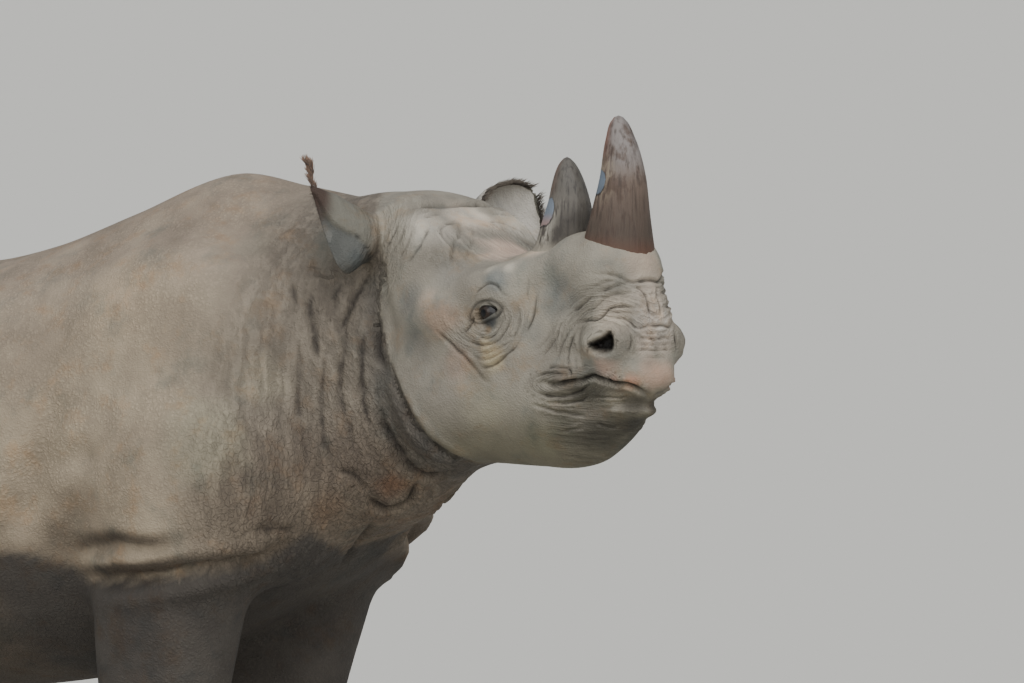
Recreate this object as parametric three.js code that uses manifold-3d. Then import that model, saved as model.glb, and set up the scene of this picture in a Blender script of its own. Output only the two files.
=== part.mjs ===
// A black rhinoceros at life size, standing with its head raised and turned a little to its right.
// Millimetres, +X forward, +Y to the animal's left, +Z up. The origin is on the ground under the
// middle of the box.
//
// Flesh is described by fields: sums of named masses (barrels, eggs and limbs) that run into each
// other softly. A shell is wrapped on a field by rays that leave a spine, and neighbours are cut
// clear of each other by a small gap.
import * as THREE from "three";
import { mergeVertices } from "three/addons/utils/BufferGeometryUtils.js";
import Module from "manifold-3d";

const wasm = await Module();
wasm.setup();

// ---------------------------------------------------------------- driving dimensions
const gap = 0.35; // between two pieces that touch
const withers = 1500; // height of the shoulder hump, the highest point of the back
const saddle = 1340; // height of the hollow of the back
const rump = 1425;
const trunkRear = -1090; // buttocks, from the middle of the trunk
const legSpread = { fore: 215, hind: 245 }; // centre of a foot to the middle line
const mouthHeight = 1121; // height of the mouth line
const lip = 620; // skull pivot to the tip of the upper lip
const skullPivot = [1078, 0]; // where the head turns on the neck
const headTurn = 8; // degrees, to the animal's right
const hornHeight = { front: 241, rear: 174 };
const eyeRadius = 23;
const deg = Math.PI / 180;

const colours = {
  hide: "#9b8f80",
  face: "#a39a8d",
  legs: "#857a6d",
  ear: "#8f887d",
  horn: "#6f6359",
  eye: "#20201f",
  nail: "#5d564e",
};

// ---------------------------------------------------------------- fields
// Each form gives a value below 0 inside it, which grows about as the distance does.
function smoothMin(a, b, soft) {
  const near = Math.max(soft - Math.abs(a - b), 0) / soft;
  return Math.min(a, b) - (near * near * soft) / 4;
}

// Smooth curves through rows of numbers, keyed by the first number of each row.
function smoothRows(rows) {
  const slope = (i, k) => {
    const a = rows[Math.max(i - 1, 0)];
    const b = rows[Math.min(i + 1, rows.length - 1)];
    return (b[k] - a[k]) / (b[0] - a[0]);
  };
  return (s) => {
    const at = Math.min(Math.max(s, rows[0][0]), rows[rows.length - 1][0]);
    let i = 0;
    while (i < rows.length - 2 && at > rows[i + 1][0]) i++;
    const step = rows[i + 1][0] - rows[i][0];
    const t = (at - rows[i][0]) / step;
    return rows[i].map((value, k) => {
      if (k === 0) return at;
      const rise = rows[i + 1][k] - value;
      const start = slope(i, k) * step;
      const end = slope(i + 1, k) * step;
      return value + t * (start + t * (3 * rise - 2 * start - end + t * (start + end - 2 * rise)));
    });
  };
}

// Lengthwise body whose section at x runs from top to bottom and to half its width on each side.
// The crown is how square its upper half is: 2 is an ellipse.
function barrel(rows, square = 2.2) {
  const at = smoothRows(rows);
  const [first, last] = [rows[0][0], rows[rows.length - 1][0]];
  return ([x, y, z]) => {
    const [, top, bottom, half, crown] = at(x);
    const height = (top - bottom) / 2;
    const rise = (z - (top + bottom) / 2) / height;
    const power = rise > 0 ? crown : square;
    const share = (Math.abs(y / half) ** power + Math.abs(rise) ** power) ** (1 / power);
    const value = (share - 1) * Math.min(half, height);
    const past = Math.max(first - x, x - last);
    return Math.min(Math.max(value, past), 0) + Math.hypot(Math.max(value, 0), Math.max(past, 0));
  };
}

// Upright body, such as a leg: rows are height, centre x, centre y, half length, half width.
function column(rows, square = 2.2) {
  const at = smoothRows(rows);
  const top = rows[rows.length - 1][0];
  return ([x, y, z]) => {
    const [, cx, cy, long, wide] = at(z);
    const share = (Math.abs((x - cx) / long) ** square + Math.abs((y - cy) / wide) ** square) ** (1 / square);
    return Math.max((share - 1) * Math.min(long, wide), z - top);
  };
}

function turned(point, centre, turn) {
  const v = new THREE.Vector3(point[0] - centre[0], point[1] - centre[1], point[2] - centre[2]);
  if (turn) v.applyQuaternion(turn);
  return v;
}

// Ellipsoid; lean is its yaw, pitch (nose down) and roll in degrees.
function egg(centre, radii, lean) {
  const turn = lean && new THREE.Quaternion().setFromEuler(
    new THREE.Euler(lean[2] * deg, lean[1] * deg, lean[0] * deg, "ZYX"),
  ).invert();
  return (p) => {
    const v = turned(p, centre, turn);
    const k0 = Math.hypot(v.x / radii[0], v.y / radii[1], v.z / radii[2]);
    const k1 = Math.hypot(v.x / radii[0] ** 2, v.y / radii[1] ** 2, v.z / radii[2] ** 2);
    return k1 < 1e-9 ? -Math.min(...radii) : (k0 * (k0 - 1)) / k1;
  };
}

// Round bar from a to b, of radius ra at a and rb at b.
function limb(a, ra, b, rb) {
  const [ax, ay, az] = a;
  const d = [b[0] - ax, b[1] - ay, b[2] - az];
  const length2 = d[0] ** 2 + d[1] ** 2 + d[2] ** 2;
  return ([x, y, z]) => {
    const t = Math.min(Math.max(((x - ax) * d[0] + (y - ay) * d[1] + (z - az) * d[2]) / length2, 0), 1);
    return Math.hypot(x - ax - t * d[0], y - ay - t * d[1], z - az - t * d[2]) - (ra + t * (rb - ra));
  };
}

const mirrored = (form) => ([x, y, z]) => form([x, -y, z]);

// Puts forms together. Each is { form, soft }, with hollow: true for one that is taken away and
// both: true for a pair.
function flesh(core, masses) {
  const all = masses.flatMap((m) => (m.both ? [m, { ...m, form: mirrored(m.form) }] : [m]));
  return (p) => {
    let value = core(p);
    for (const { form, soft, hollow } of all) {
      value = hollow ? -smoothMin(-value, form(p), soft) : smoothMin(value, form(p), soft);
    }
    return value;
  };
}

// ---------------------------------------------------------------- meshes and solids
function meshOf(points, faces) {
  const geometry = new THREE.BufferGeometry();
  geometry.setAttribute("position", new THREE.Float32BufferAttribute(points.flat(), 3));
  geometry.setIndex(faces.flat());
  return geometry;
}

// A closed net of rings, each with the same number of points, between two end points.
function netOf(rings, start, end) {
  const around = rings[0].length;
  const points = [start, ...rings.flat(), end];
  const faces = [];
  const at = (i, j) => 1 + i * around + (j % around);
  for (let j = 0; j < around; j++) {
    faces.push([0, at(0, j + 1), at(0, j)]);
    faces.push([points.length - 1, at(rings.length - 1, j), at(rings.length - 1, j + 1)]);
    for (let i = 0; i < rings.length - 1; i++) {
      faces.push([at(i, j), at(i, j + 1), at(i + 1, j)]);
      faces.push([at(i, j + 1), at(i + 1, j + 1), at(i + 1, j)]);
    }
  }
  return meshOf(points, faces);
}

// Where a ray from inside first leaves the field.
function leaves(field, from, way, step, reach) {
  const at = (t) => [from[0] + t * way[0], from[1] + t * way[1], from[2] + t * way[2]];
  let near = 0;
  let far = step;
  while (far < reach && field(at(far)) < 0) {
    near = far;
    far += step;
  }
  for (let i = 0; i < 14; i++) {
    const mid = (near + far) / 2;
    if (field(at(mid)) < 0) near = mid;
    else far = mid;
  }
  return at(near);
}

// Wraps a shell on a field. frame(stop) gives a point of the spine, the way ahead and the way up there.
// Each end is "flat" or a number of dome rings.
function shell(field, frame, { stops, around, ends, step = 12, reach = 900 }) {
  const ring = ({ point, ahead, above }, tilt) => {
    const side = new THREE.Vector3().crossVectors(ahead, above);
    return Array.from({ length: around }, (_, j) => {
      const angle = (2 * Math.PI * j) / around;
      const way = above.clone().multiplyScalar(Math.cos(angle)).addScaledVector(side, Math.sin(angle));
      way.multiplyScalar(Math.cos(tilt)).addScaledVector(ahead, Math.sin(tilt));
      return leaves(field, point, way.toArray(), step, reach);
    });
  };
  const dome = (at, count, sign) =>
    Array.from({ length: count }, (_, k) => ring(at, (sign * (k + 1) * Math.PI) / 2 / (count + 1)));
  const [first, last] = [frame(stops[0]), frame(stops[stops.length - 1])];
  const rings = stops.map((s) => ring(frame(s), 0));
  let [start, end] = [first.point, last.point];
  if (ends[0] !== "flat") {
    rings.unshift(...dome(first, ends[0], -1).reverse());
    start = leaves(field, first.point, first.ahead.clone().negate().toArray(), step, reach);
  }
  if (ends[1] !== "flat") {
    rings.push(...dome(last, ends[1], 1));
    end = leaves(field, last.point, last.ahead.toArray(), step, reach);
  }
  return netOf(rings, start, end);
}

// Evenly spaced numbers from a to b, the last one left out.
const spread = (a, b, count) => Array.from({ length: count }, (_, i) => a + ((b - a) * i) / count);

// Tube along a curve; sizes(t) gives its half width and half depth, and depth points to `back`.
function tube(curve, sizes, { sides, steps, back }) {
  const depth = new THREE.Vector3(...back);
  const rings = Array.from({ length: steps + 1 }, (_, i) => {
    const t = i / steps;
    const centre = curve.getPoint(t);
    const ahead = curve.getTangent(t);
    const wide = new THREE.Vector3().crossVectors(ahead, depth).normalize();
    const deep = new THREE.Vector3().crossVectors(wide, ahead);
    const [half, thick] = sizes(t);
    return Array.from({ length: sides }, (_, j) => {
      const angle = (2 * Math.PI * j) / sides;
      return centre
        .clone()
        .addScaledVector(wide, half * Math.cos(angle))
        .addScaledVector(deep, thick * Math.sin(angle))
        .toArray();
    });
  });
  return netOf(rings, curve.getPoint(0).toArray(), curve.getPoint(1).toArray());
}

// Closed ring of round section along a closed curve.
function hoop(curve, radius, { sides, steps }) {
  const frames = curve.computeFrenetFrames(steps, true);
  const points = [];
  const faces = [];
  for (let i = 0; i < steps; i++) {
    const centre = curve.getPoint(i / steps);
    for (let j = 0; j < sides; j++) {
      const angle = (2 * Math.PI * j) / sides;
      const out = frames.normals[i]
        .clone()
        .multiplyScalar(Math.cos(angle))
        .addScaledVector(frames.binormals[i], Math.sin(angle));
      points.push(centre.clone().addScaledVector(out, radius(i / steps)).toArray());
      const [a, b] = [i * sides + j, i * sides + ((j + 1) % sides)];
      const [c, d] = [((i + 1) % steps) * sides + j, ((i + 1) % steps) * sides + ((j + 1) % sides)];
      faces.push([a, b, c], [b, d, c]);
    }
  }
  return meshOf(points, faces);
}

function bareMesh(geometry) {
  const bare = geometry.clone();
  bare.deleteAttribute("normal");
  bare.deleteAttribute("uv");
  return mergeVertices(bare, 1e-3);
}

function manifoldOf(points, corners) {
  return new wasm.Manifold(new wasm.Mesh({ numProp: 3, vertProperties: points, triVerts: corners }));
}

// A solid from a closed mesh, turned right side out if it needs that.
function solidOf(geometry) {
  const merged = bareMesh(geometry);
  const points = new Float32Array(merged.attributes.position.array);
  const corners = new Uint32Array(merged.index.array);
  const made = manifoldOf(points, corners);
  return made.volume() > 0 ? made : manifoldOf(points, corners.reverse());
}

function geometryOf(solid) {
  const { numProp, vertProperties, triVerts } = solid.getMesh();
  const points = new Float32Array((vertProperties.length / numProp) * 3);
  for (let i = 0; i < points.length / 3; i++) {
    points.set(vertProperties.subarray(i * numProp, i * numProp + 3), i * 3);
  }
  const geometry = new THREE.BufferGeometry();
  geometry.setAttribute("position", new THREE.BufferAttribute(points, 3));
  geometry.setIndex(new THREE.BufferAttribute(new Uint32Array(triVerts), 1));
  return geometry;
}

// A mesh with many small solids rooted in it, as one solid.
const joined = (geometry, solids) => solids.reduce((whole, one) => whole.add(one), solidOf(geometry));

// Only the largest closed surface of a solid.
function largest(solid) {
  const pieces = solid.decompose();
  return pieces.reduce((best, piece) => (piece.volume() > best.volume() ? piece : best));
}

// The same surface moved out along its normals, to cut a neighbour clear of it.
function swollen(geometry) {
  const out = bareMesh(geometryOf(solidOf(geometry)));
  out.computeVertexNormals();
  const { position, normal } = out.attributes;
  for (let i = 0; i < position.count; i++) {
    position.setXYZ(
      i,
      position.getX(i) + gap * normal.getX(i),
      position.getY(i) + gap * normal.getY(i),
      position.getZ(i) + gap * normal.getZ(i),
    );
  }
  return solidOf(out);
}

// ---------------------------------------------------------------- the long axis, from the rump to the lip
// stop, height of the spine, pitch (nose up) and turn to the right, in degrees
const axisRows = [
  [-1100, 985, 0, 0],
  [420, 985, 0, 0],
  [700, 1050, 17, 0],
  [860, 1120, 27, 0],
  [960, 1165, 26, 2],
  [1060, 1190, 16, 5],
  [1140, 1188, 8, headTurn],
  [1260, 1178, 0, headTurn],
  [1800, 1170, 0, headTurn],
];
const axisAt = smoothRows(axisRows);

function bodyFrame(stop) {
  const [, z, pitch, turn] = axisAt(stop);
  const [up, right] = [pitch * deg, -turn * deg];
  const past = Math.max(stop - skullPivot[0], 0);
  const level = new THREE.Vector3(Math.cos(right), Math.sin(right), 0);
  const ahead = level.clone().multiplyScalar(Math.cos(up)).setZ(Math.sin(up));
  const above = level.clone().multiplyScalar(-Math.sin(up)).setZ(Math.cos(up));
  const x = Math.min(stop, skullPivot[0]) + past * Math.cos(headTurn * deg);
  return { point: [x, -past * Math.sin(headTurn * deg), z], ahead, above };
}

// ---------------------------------------------------------------- trunk and neck
// x, top, bottom, half width, crown
const trunkRows = [
  [trunkRear, 1150, 900, 60, 2.2],
  [trunkRear + 45, 1240, 790, 190, 2.1],
  [-950, 1335, 700, 285, 2],
  [-790, 1400, 640, 350, 1.9],
  [-570, rump, 602, 405, 1.85],
  [-300, 1385, 572, 448, 1.95],
  [-60, 1347, 556, 464, 2.05],
  [110, saddle, 562, 460, 2.05],
  [310, 1378, 584, 430, 1.95],
  [480, 1438, 615, 385, 1.8],
  [660, withers, 680, 330, 1.7],
  [810, 1482, 770, 285, 1.75],
  [940, 1462, 855, 238, 1.9],
  [1060, 1446, 905, 172, 2.1],
  [1160, 1430, 955, 128, 2.2],
  [1260, 1380, 1010, 110, 2.2],
];
const shoulderShift = { right: 15, left: -80 };

function shoulder(side, shift) {
  return [
    { form: egg([690 + shift, side * 222, 1120], [215, 118, 255], [0, 14, 0]), soft: 80 }, // shoulder blade
    { form: limb([900 + shift / 2, side * 150, 960], 96, [990, side * 40, 1010], 96), soft: 90 }, // breast
    { form: egg([755 + shift, side * 262, 938], [188, 132, 180], [0, -6, 0]), soft: 100 }, // upper arm
    { form: egg([840 + shift, side * 120, 890], [108, 120, 112]), soft: 70 }, // brisket
  ];
}

const trunkField = flesh(barrel(trunkRows, 2.2), [
  ...shoulder(-1, shoulderShift.right),
  ...shoulder(1, shoulderShift.left),
  { form: egg([-640, 262, 1100], [280, 150, 265], [0, -15, 0]), soft: 100, both: true }, // haunch
  { form: egg([-900, 165, 1000], [190, 145, 250]), soft: 80, both: true }, // buttock
  { form: limb([-430, 262, 780], 85, [-250, 310, 670], 55), soft: 110, both: true }, // flank fold
  { form: egg([1040, 0, 1402], [90, 108, 62]), soft: 46 }, // nape
]);

// ---------------------------------------------------------------- head
// In its own frame: x from the skull pivot, z from the mouth line.
// x, top, bottom, half width, crown
const headRows = [
  [-40, 290, 60, 50, 2.3],
  [0, 316, 0, 84, 2.3],
  [50, 326, -60, 114, 2.3],
  [110, 317, -104, 134, 2.2],
  [190, 285, -122, 143, 2.2],
  [270, 246, -126, 138, 2.4],
  [350, 236, -128, 120, 2.5],
  [430, 238, -128, 104, 2.4],
  [500, 246, -106, 82, 2.3],
  [560, 226, -44, 70, 2.3],
  [604, 150, -4, 46, 2.3],
];
const eyePlace = [lip - 298, 107, 143];
const orbit = egg([eyePlace[0] + 2, 166, eyePlace[2]], [50, 30, 40], [0, -20, 0]);
const headField = flesh(barrel(headRows, 2.3), [
  { form: egg([302, 92, 178], [80, 44, 40], [-8, 4, 0]), soft: 32, both: true }, // brow
  { form: limb([330, 88, 200], 24, [446, 54, 228], 25), soft: 32, both: true }, // ridge from brow to horn
  { form: egg([174, 120, 140], [76, 46, 48], [8, 10, 0]), soft: 40, both: true }, // cheek bone
  { form: egg([110, 90, 232], [105, 60, 88], [0, 20, 0]), soft: 46, both: true }, // temple
  { form: egg([166, 94, -4], [132, 66, 116], [6, 26, 0]), soft: 40, both: true }, // jaw muscle
  { form: egg([42, 0, 304], [60, 112, 42]), soft: 40 }, // crest of the skull
  { form: limb([36, 70, 252], 50, [26, 116, 264], 38), soft: 26, both: true }, // root of the ear
  { form: egg([244, 190, 66], [62, 30, 50]), soft: 44, both: true, hollow: true }, // below the cheek bone
  { form: egg([210, 84, 306], [72, 44, 34], [0, 24, 0]), soft: 34, both: true, hollow: true }, // temple pit
  { form: orbit, soft: 24, both: true, hollow: true },
  { form: egg([521, 0, 216], [82, 85, 78]), soft: 34 }, // boss under the front horn
  { form: egg([372, 0, 212], [78, 72, 44]), soft: 34 }, // boss under the rear horn
  { form: egg([455, 0, 238], [46, 78, 48]), soft: 24 }, // saddle between the horns
  { form: egg([566, 0, 148], [55, 69, 52]), soft: 30 }, // bridge of the nose
  { form: egg([571, 0, 94], [55, 73, 70]), soft: 30 }, // nose
  { form: egg([566, 62, 88], [48, 36, 42], [-10, -10, 0]), soft: 20, both: true }, // wing of the nostril
  { form: egg([586, 0, 40], [49, 60, 40], [0, 16, 0]), soft: 20 }, // upper lip
  { form: limb([590, 0, 30], 28, [597, 0, 11], 14), soft: 14 }, // its hooked tip
  { form: egg([508, 60, 40], [72, 34, 26], [-14, 4, 0]), soft: 20, both: true }, // side of the upper lip
  { form: egg([500, 0, -42], [71, 58, 40], [0, -16, 0]), soft: 24 }, // chin
  { form: egg([559, 0, -24], [46, 48, 18]), soft: 10 }, // lower lip
]);
const headPose = new THREE.Matrix4()
  .makeRotationZ(-headTurn * deg)
  .setPosition(skullPivot[0], skullPivot[1], mouthHeight);
const headUnpose = headPose.clone().invert();
const intoHead = (p) => new THREE.Vector3(...p).applyMatrix4(headUnpose).toArray();
const skinField = (p) => smoothMin(trunkField(p), headField(intoHead(p)), 26);

const torsoEnd = 905;
const neckEnd = 1068;
const torsoStops = [...spread(-890, -420, 5), ...spread(-420, 420, 7), ...spread(420, 700, 5)];
const torsoShell = shell(skinField, bodyFrame, {
  stops: [...torsoStops, ...spread(700, torsoEnd, 7), torsoEnd],
  around: 34,
  ends: [4, "flat"],
  step: 25,
});
const neckShell = shell(skinField, bodyFrame, {
  stops: [...spread(torsoEnd + gap, neckEnd, 5), neckEnd],
  around: 40,
  ends: ["flat", "flat"],
  step: 15,
});
const headStops = [...spread(neckEnd + gap, 1340, 10), ...spread(1340, 1520, 8), ...spread(1520, 1618, 6)];
const headShell = shell(skinField, bodyFrame, {
  stops: [...headStops, 1618],
  around: 40,
  ends: ["flat", 5],
  step: 8,
  reach: 600,
});

// Where the skin of the head is, out from its middle at a place seen from the side.
function cheekAt(x, z, side) {
  return leaves(headField, [x, 0, z], [0, side, 0], 4, 300);
}

// ---------------------------------------------------------------- face: eyes, lids, nostrils and mouth
const lidLength = 27;
const lidRise = { upper: 17, lower: 14 };
const lidTilt = 0.5; // how steeply the opening rises towards the nose

// An almond round the eye: on the skin, or over the eyeball where that stands further out.
function almond(side, share, push) {
  const points = spread(0, 2 * Math.PI, 16).map((a) => {
    const along = share * lidLength * Math.cos(a);
    const high = share * (Math.sin(a) > 0 ? lidRise.upper : lidRise.lower) * Math.sin(a) + lidTilt * along;
    const skin = Math.abs(cheekAt(eyePlace[0] + along, eyePlace[2] + high, side)[1]) - 1;
    const ball = eyePlace[1] + Math.sqrt(Math.max(push ** 2 - along ** 2 - high ** 2, 0));
    return new THREE.Vector3(eyePlace[0] + along, side * Math.max(skin, ball), eyePlace[2] + high);
  });
  return new THREE.CatmullRomCurve3(points, true);
}

// The rim of a nostril on the skin: a comma, wide in front and drawn out low behind.
const nostril = [578, 91]; // x and z of its middle, in the head's frame
function nostrilLine(side) {
  const points = spread(0, 2 * Math.PI, 12).map((a) => {
    const along = 26 * Math.cos(a);
    const high = (17 + 4 * Math.cos(a)) * Math.sin(a) + 0.42 * along;
    const [x, y, z] = cheekAt(nostril[0] + along, nostril[1] + high, side);
    return new THREE.Vector3(x, y - 2 * side, z);
  });
  return new THREE.CatmullRomCurve3(points, true);
}

const mouthRows = [
  [415, 14],
  [450, 16],
  [480, 20],
  [510, 30],
  [537, 34],
  [567, 24],
  [592, 9],
];

function mouthCurve() {
  const right = mouthRows.map(([x, z]) => new THREE.Vector3(...cheekAt(x, z, -1)));
  const left = mouthRows.map(([x, z]) => new THREE.Vector3(...cheekAt(x, z, 1))).reverse();
  return new THREE.CatmullRomCurve3([...right, new THREE.Vector3(613, 0, -8), ...left]);
}

// ---------------------------------------------------------------- legs
// height, centre x, centre y, half length, half width
const foreRows = [
  [0, 672, 0, 112, 98],
  [50, 668, 0, 112, 98],
  [110, 654, 0, 98, 88],
  [180, 642, 0, 84, 77],
  [270, 640, 0, 82, 74],
  [350, 642, 0, 92, 80],
  [430, 648, 0, 104, 89],
  [510, 655, 4, 112, 94],
  [620, 668, 8, 130, 106],
  [720, 684, 14, 146, 112],
  [820, 705, 16, 158, 108],
  [920, 715, 8, 158, 88],
];
const hindRows = [
  [0, -738, 0, 108, 94],
  [50, -742, 0, 108, 94],
  [110, -754, 0, 94, 85],
  [180, -768, 0, 80, 75],
  [260, -780, 0, 78, 72],
  [350, -797, 0, 84, 75],
  [430, -812, 0, 98, 82],
  [510, -800, 2, 116, 92],
  [610, -755, 6, 154, 108],
  [720, -705, 8, 200, 124],
  [850, -680, 4, 235, 124],
  [960, -670, -10, 235, 100],
];
const toeAngles = [-58, 0, 58];

function leg(rows, side, [whole, foot], away) {
  const placed = rows.map(([z, x, y, long, wide]) => {
    const share = Math.max(0, 1 - z / 900);
    return [z, x + whole + foot * share, side * (away + y), long, wide];
  });
  const at = smoothRows(placed);
  const [, footX, footY, footLong, footWide] = at(40);
  const toes = toeAngles.map((angle) => {
    const [reach, half] = angle ? [0.66, 41] : [0.72, 48];
    const x = footX + reach * footLong * Math.cos(angle * deg);
    const y = footY + reach * footWide * Math.sin(angle * deg);
    return { form: egg([x, y, 34], [44, half, 62], [angle, 0, 0]), soft: 22 };
  });
  const field = flesh(column(placed, 2.15), toes);
  const top = rows[rows.length - 1][0];
  const frame = (z) => ({
    point: [at(z)[1], at(z)[2], z],
    ahead: new THREE.Vector3(0, 0, -1),
    above: new THREE.Vector3(1, 0, 0),
  });
  const body = shell(field, frame, {
    stops: [top - 60, ...spread(top - 160, 440, 5), ...spread(440, 130, 4), ...spread(130, 0, 4), 0],
    around: 20,
    ends: [2, "flat"],
    step: 10,
  });
  const nails = toeAngles.map((angle) => {
    const plate = new THREE.SphereGeometry(1, 8, 5).scale(30, angle ? 38 : 47, 52);
    plate.rotateY(-10 * deg);
    plate.rotateZ(angle * deg);
    const [x, y] = [footLong * 0.93 * Math.cos(angle * deg), footWide * 0.98 * Math.sin(angle * deg)];
    return plate.translate(footX + x, footY + y, 22);
  });
  return { body, nails };
}

// ---------------------------------------------------------------- horns, ears, tail
// share of the height, half width, half depth
const hornRows = {
  front: [
    [-0.2, 50, 52],
    [-0.07, 62, 64],
    [0, 67, 69],
    [0.08, 61, 63],
    [0.27, 52, 54],
    [0.4, 46.5, 48.5],
    [0.585, 38.5, 40.5],
    [0.765, 30, 32],
    [0.86, 24, 25],
    [0.95, 17, 17],
    [1, 8, 8],
  ],
  rear: [
    [-0.3, 60, 67],
    [0, 57, 64],
    [0.15, 48, 54],
    [0.476, 39, 43],
    [0.6, 34, 37],
    [0.74, 28, 30],
    [0.863, 21, 22],
    [0.95, 13.5, 14],
    [1, 6, 6],
  ],
};
const hornPlaces = { front: [lip - 91, 0, 244], rear: [lip - 234, 0, 238] };
const hornBend = { front: [5, 11, 0], rear: [8, 15, 10] };
const hornTilt = { front: 0.2, rear: 0 }; // how much lower the front of the base is
const tiltFades = 0.4; // share of the height where the tilt ends

function horn(name) {
  const [height, bend] = [hornHeight[name], hornBend[name]];
  const sizes = smoothRows(hornRows[name]);
  const root = hornRows[name][0][0];
  const centre = smoothRows([[root, 0], [0, 0], [0.3, bend[0]], [0.6, bend[1]], [1, bend[2]]]);
  const shares = [...spread(root, 0.1, 3), ...spread(0.1, 0.86, 6), ...spread(0.86, 1, 3), 1];
  const rings = shares.map((share) => {
    const [, half, deep] = sizes(share);
    const x = centre(share)[1];
    const tilt = hornTilt[name] * Math.min(Math.max(1 - share / tiltFades, 0), 1);
    return spread(0, 2 * Math.PI, 18).map((angle) => {
      const ahead = deep * Math.cos(angle);
      return [x + ahead, half * Math.sin(angle), share * height - tilt * ahead];
    });
  });
  const shape = netOf(rings, [0, 0, root * height], [centre(1)[1], 0, height + 3]);
  return shape.translate(...hornPlaces[name]);
}

// An ear is a rolled leaf. Rows: share of its length, half width, half depth, degrees it closes
// round, sag of one edge.
const earLength = { right: 147, left: 158 };
const earRows = {
  right: [
    [-0.35, 34, 34, 172, 0],
    [0, 52, 42, 160, -5],
    [0.15, 60, 45, 138, 9],
    [0.3, 71, 46, 118, 29],
    [0.45, 73, 44, 108, 30],
    [0.6, 65, 38, 102, 20],
    [0.8, 39, 26, 96, -8],
    [0.93, 17, 12, 92, -30],
    [1, 6, 5, 88, -41],
  ],
  left: [
    [-0.35, 34, 34, 172, 0],
    [0, 44, 40, 160, 0],
    [0.15, 54, 44, 136, 2],
    [0.3, 64, 44, 116, 6],
    [0.5, 70, 40, 104, 10],
    [0.7, 60, 34, 98, 8],
    [0.85, 43, 24, 94, 2],
    [0.95, 23, 13, 91, -3],
    [1, 8, 6, 88, -5],
  ],
};

// A point of an ear: t runs along it, edge from -1 to 1 across it.
function earPoint(form, t, edge, thick = 0) {
  const [, half, deep, round, sag] = form.at(t);
  const angle = round * deg * edge;
  const across = Math.max(half - thick, 1.5) * Math.sin(angle) + sag;
  return [-Math.max(deep - thick, 1) * Math.cos(angle), across, form.length * t];
}

function earLeaf(form) {
  const [rows, columns] = [10, 8];
  const sheet = (inner) =>
    Array.from({ length: rows + 1 }, (_, i) => {
      const t = -0.35 + (1.35 * i) / rows;
      const inset = (i === rows ? -8 : 0) + (i === 0 ? 40 : 0);
      return Array.from({ length: columns + 1 }, (_, j) => {
        const [x, y, z] = earPoint(form, t, (2 * j) / columns - 1, inner ? 9 - 4 * t : 0);
        return [x, y, inner ? z + inset : z];
      });
    });
  const points = [...sheet(false).flat(), ...sheet(true).flat()];
  const width = columns + 1;
  const [out, into] = [(i, j) => i * width + j, (i, j) => (rows + 1 + i) * width + j];
  const faces = [];
  const quad = (a, b, c, d) => faces.push([a, b, c], [a, c, d]);
  for (let i = 0; i < rows; i++) {
    for (let j = 0; j < columns; j++) {
      quad(out(i, j), out(i + 1, j), out(i + 1, j + 1), out(i, j + 1));
      quad(into(i, j), into(i, j + 1), into(i + 1, j + 1), into(i + 1, j));
    }
    quad(out(i, 0), into(i, 0), into(i + 1, 0), out(i + 1, 0));
    quad(out(i, columns), out(i + 1, columns), into(i + 1, columns), into(i, columns));
  }
  for (let j = 0; j < columns; j++) {
    quad(out(0, j), out(0, j + 1), into(0, j + 1), into(0, j));
    quad(out(rows, j), into(rows, j), into(rows, j + 1), out(rows, j + 1));
  }
  return meshOf(points, faces);
}

// A flat tapered lock of bristles, a little fuller past its root. It leaves the root along `way` and
// bends by `fall` times its length.
function lock(root, way, length, wide, fall) {
  const start = new THREE.Vector3(...root);
  const ahead = new THREE.Vector3(...way).normalize();
  const drop = new THREE.Vector3(...fall);
  const sideways = new THREE.Vector3().crossVectors(ahead, drop).normalize();
  const through = new THREE.Vector3().crossVectors(sideways, ahead);
  const at = (t) => start.clone().addScaledVector(ahead, length * t).addScaledVector(drop, length * t * t);
  const rings = [0, 0.4, 0.75].map((t) => {
    const [half, thick] = [wide * (0.75 + 0.9 * t - 1.45 * t * t), 0.22 * wide * (1 - 0.5 * t)];
    return [
      at(t).addScaledVector(sideways, half).toArray(),
      at(t).addScaledVector(through, thick).toArray(),
      at(t).addScaledVector(sideways, -half).toArray(),
      at(t).addScaledVector(through, -thick).toArray(),
    ];
  });
  return solidOf(netOf(rings, at(-0.05).toArray(), at(1).toArray()));
}

// Seeded numbers from -1 to 1.
function dice(seed) {
  let state = seed;
  return () => {
    state = (state * 16807) % 2147483647;
    return (2 * state) / 2147483647 - 1;
  };
}

const fringe = { from: 0.32, to: 0.92, locks: 5, length: 46, wide: 14 };
const tipTuft = { right: 68, left: 34 };
const tipWay = [0.1, -0.25, 1]; // the tuft at the tip stands up, whichever way the ear points

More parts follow.
